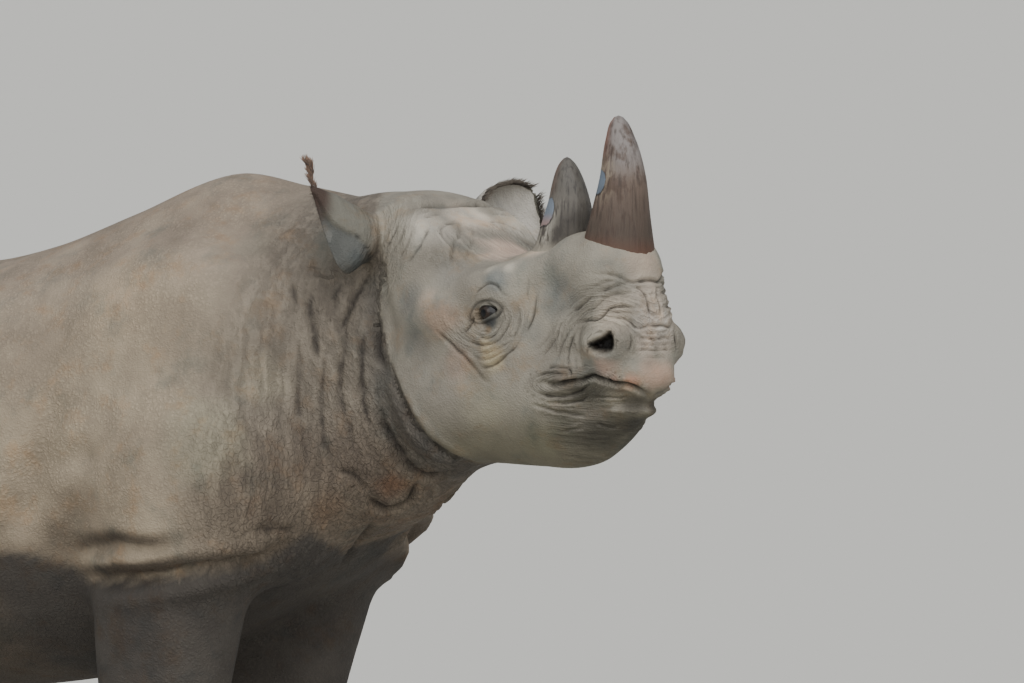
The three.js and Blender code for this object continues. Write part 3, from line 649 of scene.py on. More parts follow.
# share of the length, half width, half depth, degrees closed round, sag of one edge
earRows = {
    "right": [
        (-0.35, 34, 34, 172, 0),
        (0, 52, 42, 160, -5),
        (0.15, 60, 45, 138, 9),
        (0.3, 71, 46, 118, 29),
        (0.45, 73, 44, 108, 30),
        (0.6, 65, 38, 102, 20),
        (0.8, 39, 26, 96, -8),
        (0.93, 17, 12, 92, -30),
        (1, 6, 5, 88, -41),
    ],
    "left": [
        (-0.35, 34, 34, 172, 0),
        (0, 44, 40, 160, 0),
        (0.15, 54, 44, 136, 2),
        (0.3, 64, 44, 116, 6),
        (0.5, 70, 40, 104, 10),
        (0.7, 60, 34, 98, 8),
        (0.85, 43, 24, 94, 2),
        (0.95, 23, 13, 91, -3),
        (1, 8, 6, 88, -5),
    ],
}
sides = {"right": -1, "left": 1}


def earTurn(sideName):
    # columns: the way the cup opens, across it and along it, in the head's frame
    axis = np.array(earShape["axis"][sideName], float)
    axis /= np.linalg.norm(axis)
    opens = np.array(earShape["open"][sideName], float)
    opens -= (opens @ axis) * axis
    opens /= np.linalg.norm(opens)
    return np.stack([opens, np.cross(axis, opens), axis], 1)


def fromEar(sideName, p):
    root = np.array(earShape["root"], float) * (1, sides[sideName], 1)
    return headToBody(root + np.asarray(p, float) @ earTurn(sideName).T)


def toEar(sideName, p):
    root = np.array(earShape["root"], float) * (1, sides[sideName], 1)
    return (bodyToHead(p) - root) @ earTurn(sideName)


def earPoints(sideName, t, edge, thick):
    half, deep, closed, sag = smoothRows(earRows[sideName])(t)
    angle = closed * deg * edge
    x = -np.maximum(deep - thick, 1) * np.cos(angle)
    y = np.maximum(half - thick, 1.5) * np.sin(angle) + sag
    return np.stack([x, y, earShape["length"][sideName] * t], 1)


def earNet(sideName):
    rows, columns = 60, 31
    edge = np.linspace(-1, 1, columns)
    rings = []
    for t in 1 - (1 + earShape["sunk"]) * np.linspace(1, 0, rows) ** 1.25:
        wall = np.interp(t, (0, 1), earShape["wall"])
        turned = earShape["rim"] * smoothStep(0.8, 1, np.abs(edge))
        turned = turned * smoothStep(0.05, 0.3, t) * smoothStep(1, 0.8, t)
        uneven = noiseAt(np.stack([edge * 3, 0 * edge + t * 9, 0 * edge], 1), 1.0, 5)
        wave = earShape["wave"] * uneven * smoothStep(0, 0.3, t)
        out = earPoints(sideName, np.full(columns, t), edge, -turned - wave)
        into = earPoints(sideName, np.full(columns, t), edge, wall - turned - wave)
        ends = []
        for last, before in ((-1, -2), (0, 1)):
            ahead = out[last] - out[before]
            ahead /= max(np.linalg.norm(ahead), 1e-6)
            for share in (0.25, 0.75):
                ends.append(out[last] + (into[last] - out[last]) * share + ahead * earShape["edge"] * wall)
        rings.append(np.concatenate([out, ends[:2], into[::-1], [ends[3], ends[2]]]))
    rings = np.array(rings)
    around = rings.shape[1]
    rings = fromEar(sideName, rings.reshape(-1, 3)).reshape(rows, around, 3)
    return netOf(rings, rings[0].mean(0), rings[-1].mean(0))


# tail
# share of the length, then the place of the middle
tailRows = [
    (0, -1000, 0, 1215),
    (0.25, -1095, 0, 1160),
    (0.5, -1140, 4, 1030),
    (0.75, -1150, 10, 850),
    (1, -1142, 14, 640),
]
tailShape = {"root": (44, 40), "end": (13, 12), "thins": 1.3, "rings": 23, "ring": 0.035}


def tailNet():
    rows, around = 130, 36
    shares = np.linspace(0, 1, rows)
    at = smoothRows(tailRows)
    middle = at(shares).T
    ahead = at(shares + 0.004).T - at(shares - 0.004).T
    ahead /= np.linalg.norm(ahead, axis=1)[:, None]
    back = np.cross(ahead, (0, 1, 0))
    back /= np.linalg.norm(back, axis=1)[:, None]
    across = np.cross(ahead, back)
    angle = np.linspace(0, 2 * np.pi, around, endpoint=False)
    ring = np.sin(shares * 2 * np.pi * tailShape["rings"] + 0.6 * np.sin(shares * 31))
    ring = 1 + tailShape["ring"] * ring * smoothStep(0.05, 0.3, shares)
    sizes = zip(tailShape["root"], tailShape["end"])
    half, deep = ((root * (1 - shares) ** tailShape["thins"] + end) * ring for root, end in sizes)
    rings = middle[:, None] + (half[:, None] * np.cos(angle))[:, :, None] * across[:, None]
    rings += (deep[:, None] * np.sin(angle))[:, :, None] * back[:, None]
    return netOf(rings, middle[0], middle[-1] + ahead[-1] * 8)


def joinedTo(mesh, net, name):
    # one closed skin of a mesh and a net that runs into it
    other = newObject(name, newMesh(name, *net))
    turnOut(other.data)
    thing = newObject("joining", mesh)
    modifier = thing.modifiers.new("union", "BOOLEAN")
    modifier.operation, modifier.solver, modifier.object = "UNION", "MANIFOLD", other
    made = baked(thing)
    bpy.data.objects.remove(thing)
    bpy.data.objects.remove(other)
    return made


skinMesh = makeSkinMesh()
print("bare skin", len(skinMesh.vertices), "points")
bareTree = BVHTree.FromPolygons(pointsOf(skinMesh).tolist(), [p.vertices for p in skinMesh.polygons])
for sideName in sides:
    skinMesh = joinedTo(skinMesh, earNet(sideName), "ear")
skinMesh = joinedTo(skinMesh, tailNet(), "tail")
print("with ears and tail", len(skinMesh.vertices), "points")


def onOneSide(p, side):
    # points with those of the other side mirrored over
    return np.stack([p[:, 0], side * np.abs(p[:, 1]), p[:, 2]], 1)


# folds, laid along lines of sight of the camera
picture = {"width": 1024, "height": 683}


def sightAxes():
    # back to the camera, to its right, up, and the size of a pixel seen from a metre away
    a, e = cameraFacts["azimuth"] * deg, cameraFacts["elevation"] * deg
    back = np.array((math.sin(a) * math.cos(e), -math.cos(a) * math.cos(e), math.sin(e)))
    right = np.array((math.cos(a), math.sin(a), 0))
    size = cameraFacts["width"] / picture["width"] / cameraFacts["distance"]
    return back, right, np.cross(back, right), size


def sightThrough(pixels):
    back, right, up, size = sightAxes()
    offset = (np.asarray(pixels, float) - (picture["width"] / 2, picture["height"] / 2)) * size
    way = offset[:, :1] * right - offset[:, 1:] * up - back
    start = np.array(cameraFacts["target"]) + back * cameraFacts["distance"] * 1000
    return start, way / np.linalg.norm(way, axis=1)[:, None]


def pixelOf(p):
    # where points of the animal's frame stand in the picture, those of its left side as if mirrored
    atHead = (p[:, 0] > skull["pivot"][0])[:, None]
    folded = np.where(atHead, headToBody(onOneSide(bodyToHead(p), -1)), onOneSide(p, -1))
    back, right, up, size = sightAxes()
    v = folded - cameraFacts["target"]
    far = (cameraFacts["distance"] * 1000 - v @ back) * size
    return np.stack([v @ right / far + picture["width"] / 2, picture["height"] / 2 - v @ up / far], 1)


def castLine(pixels, step=3):
    # a line of pixels laid on the skin, as points in the animal's frame
    pixels = np.array(pixels, float)
    run = np.concatenate([[0], np.cumsum(np.linalg.norm(np.diff(pixels, axis=0), axis=1))])
    stops = np.linspace(0, run[-1], max(int(run[-1] / step), 2) + 1)
    curve = smoothRows(np.column_stack([run, pixels]))(stops).T
    start, ways = sightThrough(curve)
    hits = [bareTree.ray_cast(Vector(start), Vector(way))[0] for way in ways]
    return np.array([tuple(hit) for hit in hits if hit is not None])


faceFolds = [
    # pixels, width, depth and bank in millimetres
    ([(473, 305), (476, 295), (483, 286), (489, 283), (495, 285), (503, 294),
      (509, 298)], 2.6, 2.4, 1.2),  # over the lid
    ([(479, 306), (483, 302), (490, 300), (497, 302)], 2.2, 1.4, 0.8),
    ([(475, 315), (473, 321), (468, 328), (463, 335)], 3, 5, 1),  # from the rear corner of the eye
    ([(473, 330), (479, 335), (486, 338), (493, 337), (499, 330), (503, 318), (505, 308)], 2.4, 2, 1.4),
    ([(464, 338), (471, 342), (481, 345), (492, 344), (500, 339), (507, 326), (511, 312)], 2.6, 2.6, 1.6),
    ([(478, 352), (488, 353), (499, 349), (508, 343), (514, 334), (517, 318)], 2.4, 1.8, 1.2),
    ([(468, 349), (477, 358), (488, 359), (500, 354), (511, 346)], 2.4, 1.6, 1),
    ([(476, 366), (484, 368), (494, 365), (505, 356), (514, 348), (520, 338)], 3, 3.4, 1.6),
    ([(432, 321), (439, 332), (448, 341), (457, 350), (465, 358), (475, 369), (482, 379),
      (493, 386)], 3.4, 2.6, 1.4),
    ([(536, 290), (533, 302), (530, 316), (526, 326), (521, 335)], 3, 3.6, 1.2),  # crease before it
    ([(528, 276), (527, 288), (525, 300)], 2.4, 1.6, 0.6),
    ([(516, 308), (518, 320), (516, 330)], 2.2, 1.6, 0.6),
    ([(588, 274), (608, 275), (621, 278), (631, 282), (645, 280), (658, 280)], 3, 3.2, 1.6),  # below the horn
    ([(599, 294), (609, 289), (623, 284), (632, 283)], 2.8, 2.4, 1.2),
    ([(590, 289), (603, 283), (616, 280)], 2.4, 1.4, 0.8),
    ([(571, 314), (584, 303), (594, 294)], 2.6, 2.4, 1.2),  # arcs above the nostril
    ([(583, 314), (593, 309), (603, 299), (612, 295), (626, 293), (641, 293)], 2.6, 2.2, 1.2),
    ([(573, 327), (581, 322), (593, 321), (602, 316), (611, 308), (621, 306), (631, 307),
      (648, 307)], 3, 3.2, 1.6),
    ([(605, 314), (615, 312), (627, 312), (637, 316)], 2.4, 1.6, 0.8),
    ([(603, 322), (614, 318), (623, 318), (631, 322), (637, 328), (651, 326), (661, 328),
      (668, 330)], 2.8, 3, 1.6),
    ([(632, 283), (641, 289), (647, 297), (649, 307), (652, 321)], 2.8, 2.6, 1.2),  # groove on the muzzle
    ([(648, 293), (656, 296), (665, 298)], 2.4, 1.8, 0.8),
    ([(655, 286), (662, 288)], 2.2, 1.4, 0.6),
    ([(650, 315), (662, 316), (670, 317)], 2.2, 1.6, 0.8),
    ([(645, 333), (656, 333)], 2.2, 1.6, 0.8),  # between the nostrils
    ([(634, 340), (648, 338), (660, 341), (670, 342)], 2.6, 2.4, 1.2),
    ([(634, 351), (648, 350), (661, 350), (668, 351)], 2.4, 2.2, 1.2),
    ([(638, 345), (650, 345), (662, 346)], 2.2, 1.2, 0.8),
    ([(640, 359), (652, 357), (663, 358)], 2.2, 1.4, 0.8),
    ([(628, 332), (632, 338), (631, 346), (628, 354)], 2.6, 2.8, 1.2),  # front of the nostril's wing
    ([(577, 329), (573, 335), (569, 346), (567, 358), (570, 369)], 2.6, 2.8, 1.4),  # behind the nostril
    ([(570, 328), (563, 340), (559, 352), (553, 362)], 2.6, 2.2, 1.2),
    ([(579, 352), (580, 361), (583, 371)], 2.4, 2.2, 0.8),
    ([(574, 356), (576, 371)], 2.2, 1.8, 0.6),
    ([(560, 330), (552, 342), (545, 352), (538, 358)], 2.6, 2, 1),
    ([(550, 332), (540, 345), (530, 354)], 2.4, 1.4, 0.8),
    ([(543, 371), (551, 367), (560, 367), (568, 368), (572, 378),
      (575, 380)], 2.6, 2.8, 1.4),  # over the mouth's corner
    ([(536, 379), (544, 374), (554, 373), (563, 375)], 2.4, 2.2, 1.2),
    ([(533, 389), (541, 394), (549, 396), (560, 396), (571, 394), (581, 391),
      (588, 383)], 2.8, 2.8, 1.6),  # below it
    ([(551, 402), (566, 403), (582, 400), (591, 395)], 2.6, 2.2, 1.4),
    ([(530, 404), (546, 409), (562, 413), (579, 415), (589, 416)], 2.6, 2, 1.2),
    ([(562, 431), (574, 430), (585, 428)], 2.4, 1.8, 1),
    ([(595, 424), (612, 428), (621, 427)], 2.6, 2, 1),
    ([(590, 399), (607, 397), (622, 398), (630, 397)], 2.4, 2, 1),  # lower lip
    ([(600, 408), (613, 407), (624, 407)], 2.2, 1.4, 0.8),
    ([(484, 220), (500, 222), (517, 228), (530, 238)], 3, 2.4, 1.6),  # forehead
    ([(488, 213), (509, 215), (530, 224), (538, 234)], 2.8, 1.8, 1.2),
    ([(496, 209), (522, 213), (538, 222)], 2.8, 1.6, 1),
    ([(482, 230), (500, 234), (516, 242)], 2.8, 1.6, 1.2),
    ([(463, 220), (458, 238), (450, 260), (440, 274)], 3.4, 1.8, 1.2),  # temple
    ([(475, 220), (473, 240), (463, 264)], 3, 1.4, 1),
    ([(433, 222), (423, 238), (412, 255), (402, 268)], 3.6, 2.4, 1.4),
    ([(397, 220), (393, 234), (383, 251)], 3.6, 2.4, 1.4),  # root of the ear
    ([(412, 226), (406, 244), (396, 262)], 3.2, 1.8, 1.2),
    ([(405, 222), (399, 240), (389, 256)], 3, 1.6, 1),
    ([(398, 212), (412, 207), (436, 205), (462, 204), (478, 207), (490, 213)], 7, 7, 3),  # edge of the crown
]
mouthLine = [(536, 384), (543, 383), (552, 385), (566, 383), (579, 381), (593, 376), (599, 378), (611, 382)]
mouthLine += [(623, 384), (636, 387), (642, 392), (649, 395)]
mouthCut = {"width": 4.2, "depth": 9, "bank": 4}
lipTip = (612, 0, -13)  # where both lines of the mouth meet, in the head's frame
nostrilOutline = [(587, 345), (592, 341), (602, 336), (609, 331), (613, 334), (615, 345), (612, 352)]
nostrilOutline += [(602, 354), (591, 350), (587, 345)]
faceMounds = [
    # pixel, reach and height in millimetres
    ((441, 322), 46, 7),  # cheek bone
    ((404, 300), 44, -9),  # hollow behind it
    ((442, 262), 46, -7),  # temple
    ((492, 347), 27, 6),  # pouch below the eye
    ((530, 318), 36, -5),  # in front of the eye
    ((589, 326), 26, 6),  # rim over the nostril
    ((622, 340), 18, 5),  # rim in front of it
    ((583, 345), 16, 4),
    ((600, 364), 24, 4),
    ((640, 372), 26, 4),  # upper lip
    ((560, 389), 20, 3),
    ((612, 394), 22, 3),  # lower lip
    ((548, 345), 34, -4),
    ((430, 350), 44, -5),
]
neckFolds = [
    ([(381, 262), (382, 273), (383, 292)], 10, 13, 2),  # pocket under the ear
    ([(370, 266), (366, 277), (359, 291), (354, 299), (347, 316), (342, 327), (338, 340)], 6, 6, 2.5),
    ([(342, 277), (338, 288), (335, 300), (333, 312), (332, 328)], 5, 3, 1.4),
    ([(313, 278), (311, 297), (309, 312), (312, 327), (315, 342), (317, 355), (316, 374)], 6, 5, 2.4),
    ([(291, 279), (294, 297), (296, 308), (293, 317)], 6, 3.5, 1.6),
    ([(377, 308), (379, 327), (377, 347), (380, 360), (384, 376)], 7, 8, 2),
    ([(384, 356), (394, 385), (409, 419), (427, 443), (448, 457), (470, 464)], 11, 12, 3),  # behind the jaw
    ([(352, 300), (345, 340), (340, 380), (345, 420), (360, 455)], 7, 4.5, 2.2),
    ([(330, 330), (322, 380), (322, 430), (335, 470)], 7, 4, 2),
    ([(366, 320), (361, 360), (363, 400), (373, 440)], 6, 4, 2),
    ([(300, 330), (298, 380), (301, 430), (313, 480)], 8, 4, 2),
    ([(372, 396), (378, 408), (382, 422), (392, 441), (401, 454), (412, 468), (424, 476),
      (443, 475), (460, 469)], 7, 9, 3),
    ([(361, 494), (369, 501), (379, 507), (387, 510), (400, 507), (411, 501), (416, 487),
      (422, 477)], 7, 10, 3),
    ([(332, 471), (349, 474), (360, 482), (366, 497)], 7, 6, 2),
    ([(378, 517), (366, 534), (354, 547), (345, 562), (341, 572)], 8, 7, 2),
    ([(249, 531), (271, 529), (299, 531)], 8, 5, 2),
]
trunkFolds = [
    ([(75, 566), (92, 580), (130, 579), (181, 574), (225, 567), (262, 561), (288, 544),
      (308, 529)], 18, 22, 9),
    ([(72, 556), (114, 547), (151, 551), (190, 549)], 16, 7, 4),  # the upper arm
    ([(62, 385), (50, 415), (41, 441), (32, 475), (26, 510), (24, 545)], 26, 16, 8),  # behind the shoulder
    ([(34, 468), (71, 456), (106, 454)], 22, 6, 3),
]


def mirroredLine(line, ofHead):
    if ofHead:
        return headToBody(bodyToHead(line) * (1, -1, 1))
    return settle(skinField, line * (1, -1, 1), 6)


def bothSides(folds, ofHead):
    made = []
    for pixels, width, depth, bank in folds:
        line = castLine(pixels)
        near = bodyToHead(line)[:, 1] < -1
        if ofHead and near[0] and not near[-1]:
            half = line[: np.argmin(near)]
            made.append((np.concatenate([half, mirroredLine(half, True)[::-1]]), width, depth, bank))
        else:
            made += [(line, width, depth, bank), (mirroredLine(line, ofHead), width, depth, bank)]
    return made


folds = bothSides(faceFolds, True)
mouth = np.concatenate([castLine(mouthLine), headToBody(lipTip)])
folds += [(line, *mouthCut.values()) for line in (mouth, mirroredLine(mouth, True))]
folds += bothSides(neckFolds + trunkFolds, False)
nostrilRim = castLine(nostrilOutline, 2)


def castSpots(pixel):
    # a pixel's place on the skin and the one mirrored in the head, or none where it misses
    spot = castLine([pixel, (pixel[0] + 0.5, pixel[1])])[:1]
    return [spot[0], mirroredLine(spot, True)[0]] if len(spot) else []


mounds = [(spot, wide, rise) for pixel, wide, rise in faceMounds for spot in castSpots(pixel)]


def reachOf(p, line):
    # how far points are from a line, and how far along it
    steps = np.diff(line, axis=0)
    lengths = np.linalg.norm(steps, axis=1)
    before = np.concatenate([[0], np.cumsum(lengths)])
    best, along = np.full(len(p), 1e9), np.zeros(len(p))
    for k, step in enumerate(steps):
        t = np.clip((p - line[k]) @ step / max(lengths[k] ** 2, 1e-9), 0, 1)
        far = np.linalg.norm(p - line[k] - t[:, None] * step, axis=1)
        closer = far < best
        best = np.where(closer, far, best)
        along = np.where(closer, (before[k] + t * lengths[k]) / before[-1], along)
    return best, along


def closeTo(p, line, margin):
    return np.flatnonzero(((p > line.min(0) - margin) & (p < line.max(0) + margin)).all(1))


# finer cells along the narrow folds and the mouth, and finer still at the lids
fineCells = {"eye": 58, "lids": 36, "foldWidth": 8, "foldReach": 9}


def refined(mesh, chosen):
    work = bmesh.new()
    work.from_mesh(mesh)
    edges = [e for e in work.edges if chosen[e.verts[0].index] and chosen[e.verts[1].index]]
    bmesh.ops.subdivide_edges(work, edges=edges, cuts=1, use_grid_fill=True)
    bmesh.ops.triangulate(work, faces=[f for f in work.faces if len(f.verts) > 4])
    work.to_mesh(mesh)
    work.free()


def eyeOffset(p):
    # from the nearer eye in the head's frame, the second place outwards
    return onOneSide(bodyToHead(p), 1) - skull["eye"]


def nearEye(p, reach):
    return np.linalg.norm(eyeOffset(p), axis=1) < reach


def nearFold(p, finest, reach):
    chosen = np.zeros(len(p), bool)
    for line, width, _, _ in folds:
        if width <= finest:
            some = closeTo(p, line, reach)
            chosen[some] |= reachOf(p[some], line)[0] < reach
    return chosen


p = pointsOf(skinMesh)
refined(skinMesh, nearEye(p, fineCells["eye"]) | nearFold(p, fineCells["foldWidth"], fineCells["foldReach"]))
refined(skinMesh, nearEye(pointsOf(skinMesh), fineCells["lids"]))
print("refined", len(skinMesh.vertices), "points")


# lids, an almond about each eye
lids = {
    "half": 20.5,
    "upper": 12,
    "lower": 9.5,
    "tilt": 0.3,  # the front corner is the higher one
    "sharp": 1.75,  # below 2 the corners are pointed
    "thick": 3.2,
    "brim": 1.28,  # where the rounded edge of the lid ends, in shares of the almond
    "snap": 0.085,  # points this near the almond are drawn onto it
    "mound": 4.5,
    "moundWide": 36,
    "crease": (1.75, 0.2, 2.2),  # place and width in shares, and depth
    "soft": 5,
    "runsOut": 1.6,  # where the lid has gone over into the face, in shares
    "behind": (1, 9),  # gap to the eyeball under the lids' edge, and how much more in the middle
    "fades": (60, 44),
}


def almondAt(offset):
    # 1 on the edge of the lids, smaller inside
    c, s = math.cos(lids["tilt"]), math.sin(lids["tilt"])
    run, rise = c * offset[:, 0] + s * offset[:, 2], c * offset[:, 2] - s * offset[:, 0]
    high = np.where(rise > 0, lids["upper"], lids["lower"])
    sharp = lids["sharp"]
    return (np.abs(run / lids["half"]) ** sharp + np.abs(rise / high) ** sharp) ** (1 / sharp)


def cutLids(p):
    offset = eyeOffset(p)
    near = np.flatnonzero(np.linalg.norm(offset * (1, 0.6, 1), axis=1) < lids["fades"][0])
    v = offset[near]
    e = almondAt(v)
    brim, (place, wide, deep) = lids["brim"], lids["crease"]
    snapped = np.abs(e - 1) < lids["snap"]
    v[snapped] *= np.stack([1 / e[snapped], np.ones(snapped.sum()), 1 / e[snapped]], 1)
    e[snapped] = 1
    flat = np.hypot(v[:, 0], v[:, 2])
    ball = np.sqrt(np.maximum(skull["eyeRadius"] ** 2 - flat**2, 0))
    roll = np.sqrt(np.clip(1 - ((brim - e) / (brim - 1)) ** 2, 0, 1)) * (e >= 1)
    lid = np.where(flat < skull["eyeRadius"] - 0.5, ball + lids["thick"] * np.where(e > brim, 1, roll), -50)
    mound = lids["mound"] * np.exp(-((flat / lids["moundWide"]) ** 2))
    crease = np.exp(-(((e - place) / wide) ** 2))
    outside = -smoothMin(-lid, -(v[:, 1] + mound), lids["soft"]) - deep * crease
    onward = smoothStep(brim, lids["runsOut"], e)
    outside = np.where(e < brim, lid, outside * onward + lid.clip(0) * (1 - onward))
    outside = np.where((e >= brim) & (lid < 0), v[:, 1] + mound - deep * crease, outside)
    gap, more = lids["behind"]
    inside = ball - gap - more * smoothStep(1, 0.8, e)
    v[:, 1] = np.where(e < 1, inside, outside)
    fade = smoothStep(*lids["fades"], np.linalg.norm(offset[near], axis=1))
    v[:, 1] = fade * v[:, 1] + (1 - fade) * offset[near, 1]
    h = v + skull["eye"]
    h[:, 1] *= np.where(bodyToHead(p[near])[:, 1] < 0, -1, 1)
    out = p.copy()
    out[near] = headToBody(h)
    # painted shade: dark where the lids' edges run in over the eyeball, and half dark in the lid's crease
    dark = np.zeros(len(p))
    dark[near] = np.maximum(smoothStep(1.22, 1.0, e), crease * 0.5) * fade
    return out, dark


# nostrils
nostrilMiddle = bodyToHead(nostrilRim).mean(0)
nostril = {
    "depth": 30,
    "lip": 9,  # how far inside the outline the full depth is reached
    "rim": 5,
    "rimWide": 6,
    "way": (-0.35, 0, 0.15),  # where the pit runs besides straight in
    "reach": 48,
}


def signedReach(q, outline):
    # distance in a plane from a closed outline, below 0 inside
    best, inside = np.full(len(q), 1e9), np.zeros(len(q), bool)
    for a, b in zip(outline, np.roll(outline, -1, axis=0)):
        d = b - a
        t = np.clip((q - a) @ d / max(d @ d, 1e-9), 0, 1)
        best = np.minimum(best, np.linalg.norm(q - a - t[:, None] * d, axis=1))
        crosses = (a[1] > q[:, 1]) != (b[1] > q[:, 1])
        at = a[0] + (q[:, 1] - a[1]) * d[0] / (d[1] if abs(d[1]) > 1e-9 else 1e-9)
        inside ^= crosses & (q[:, 0] < at)
    return np.where(inside, -best, best)


def cutNostrils(p):
    out, dark = p.copy(), np.zeros(len(p))
    for flip in (1, -1):
        rim = bodyToHead(nostrilRim) * (1, flip, 1)
        middle = rim.mean(0)
        outward = slopeOf(headField, middle[None])[1][0]
        outward /= np.linalg.norm(outward)
        ahead = np.cross((0, 0, 1), outward)
        ahead /= np.linalg.norm(ahead)
        plane = np.stack([ahead, np.cross(outward, ahead)], 1)
        near = np.flatnonzero(np.linalg.norm(bodyToHead(p) - middle, axis=1) < nostril["reach"])
        h = bodyToHead(p[near])
        reach = signedReach((h - middle) @ plane, (rim - middle) @ plane)
        pit = nostril["depth"] * smoothStep(1, -nostril["lip"], reach) ** 1.2
        rise = nostril["rim"] * np.exp(-(((reach - 5) / nostril["rimWide"]) ** 2)) * smoothStep(-3, 3, reach)
        h += (rise - pit)[:, None] * outward + pit[:, None] * np.array(nostril["way"])
        out[near] = headToBody(h)
        # painted shade, dark inside the nostril's pit
        dark[near] = smoothStep(2, -6, reach)
    return out, dark


foldShape = {
    "sunk": 1.6,  # the bare skin lies this much lower, so that banks stay within the solids
    "banksAt": 2.1,  # widths from the groove
    "shake": (17, 1.7),  # cell and size of its unevenness
    "fine": (5, 1.25),  # folds narrower than the first are deeper by the second
    "darkDepth": 3.6,
}


def foldSkin(p, normals):
    # each fold is a groove between two banks, fading out at its ends, with painted shade along the groove
    move, dark = np.full(len(p), -foldShape["sunk"]), np.zeros(len(p))
    for spot, wide, rise in mounds:
        some = closeTo(p, spot[None], 2.4 * wide)
        move[some] += rise * np.exp(-(((p[some] - spot) ** 2).sum(1) / wide**2))
    cell, size = foldShape["shake"]
    narrow, deeper = foldShape["fine"]
    shaken = p + np.stack([noiseAt(p, cell, seed) for seed in (3, 4, 5)], 1) * size
    for line, width, depth, bank in folds:
        some = closeTo(p, line, 4 * width)
        far, along = reachOf(shaken[some], line)
        wander = 1 + 0.3 * noiseAt(p[some], 16, 6)
        fade = smoothStep(-0.02, 0.25, along) * smoothStep(1.02, 0.75, along) * wander
        groove = np.exp(-((far / width) ** 2)) * fade
        banks = np.exp(-(((far - foldShape["banksAt"] * width) / width) ** 2)) * fade
        move[some] += (deeper if width < narrow else 1) * (bank * banks - depth * groove)
        # painted shade in each groove, stronger the deeper it is
        share = min(depth / foldShape["darkDepth"], 1) * min(narrow / width, 1)
        dark[some] = np.maximum(dark[some], groove**1.6 * share)
    return p + move[:, None] * normals, dark


# the lower half of the near ear lies back behind a sharp edge, and gets painted shade with a painted shadow
# line under the edge; pixels round it, the edge first
earFlap = [(316, 196), (320, 203), (325, 215), (335, 226), (346, 232), (357, 235), (367, 246), (372, 257)]
earFlap += [(374, 290), (335, 290), (300, 235), (300, 196)]
earEdge = np.array(earFlap[:8], float)
flapShape = {
    "along": (10, 175),  # the part of the ear's length it is looked for in, and how far round
    "around": 110,
    "rise": 10,  # how far the upper half stands out over the edge
    "falls": (8, 16),  # pixels from the edge where that begins to fade, and over which
    "ends": (180, 120),  # along the ear
}


def pressFlap(p):
    q = toEar("right", p)
    (low, high), (start, over) = flapShape["along"], flapShape["falls"]
    near = np.hypot(q[:, 0], q[:, 1]) < flapShape["around"]
    some = np.flatnonzero((q[:, 2] > low) & (q[:, 2] < high) & near)
    reach = signedReach(pixelOf(p[some]), np.array(earFlap, float))
    clear = smoothStep(2, 12, skinField(p[some]))
    cone = smoothStep(-1.5, 3, reach) * np.exp(-((np.maximum(reach - start, 0) / over) ** 2))
    cone *= smoothStep(*flapShape["ends"], q[some, 2]) * clear
    out = p.copy()
    out[some] += (flapShape["rise"] * cone)[:, None] * sightAxes()[0]
    flap, edge = np.zeros(len(p)), np.zeros(len(p))
    flap[some] = smoothStep(1, -2, reach) * clear
    # a painted shadow line just under the edge
    edge[some] = np.exp(-(((reach + 1) / 1.4) ** 2)) * clear * smoothStep(100, 60, q[some, 2] + 0.4 * reach)
    return out, flap, edge


# the space where ears and tail run into the skin, eased from the second distance off it to the first
seams = {
    "ear": {"wide": 75, "from": -30, "to": 70, "eased": (16, 4)},
    "tail": {"wide": 90, "behind": -1000, "above": 960, "eased": (22, 6)},
    "onSkin": 3.5,  # points this near the bare skin are laid on it
}


def sculpted(mesh):
    p = pointsOf(mesh)
    close = np.abs(skinField(p)) < seams["onSkin"]
    p[close] = settle(skinField, p[close], 2)
    edges = edgesOf(mesh)
    joint = np.zeros(len(p))
    ear, tail = seams["ear"], seams["tail"]
    for sideName in sides:
        q = toEar(sideName, p)
        there = (np.hypot(q[:, 0], q[:, 1]) < ear["wide"]) & (q[:, 2] > ear["from"]) & (q[:, 2] < ear["to"])
        joint[there] = smoothStep(*ear["eased"], np.abs(skinField(p[there])))
    atTail = (np.abs(p[:, 1]) < tail["wide"]) & (p[:, 0] < tail["behind"]) & (p[:, 2] > tail["above"])
    joint[atTail] = smoothStep(*tail["eased"], np.abs(skinField(p[atTail])))
    p = eased(p, edges, 6, 0.5, joint)
    p, flap, flapEdge = pressFlap(p)
    setPoints(mesh, p)
    p, creases = foldSkin(p, normalsOf(mesh))
    p, eyeDark = cutLids(p)
    p, pitDark = cutNostrils(p)
    sole = smoothStep(30, 6, p[:, 2])
    p[:, 2] = np.where((sole > 0.9) | (p[:, 2] < 0), 0, p[:, 2])
    setPoints(mesh, p)
    # painted shade in the folds, at the lids and in a line under the ear's edge, and in the pits of the
    # nostrils and the lids
    creases = np.maximum(np.maximum(creases, 0.8 * eyeDark), 0.7 * flapEdge)
    return {"crease": creases, "pit": np.maximum(pitDark, eyeDark)}, flap


marks, flap = sculpted(skinMesh)
print("sculpted")


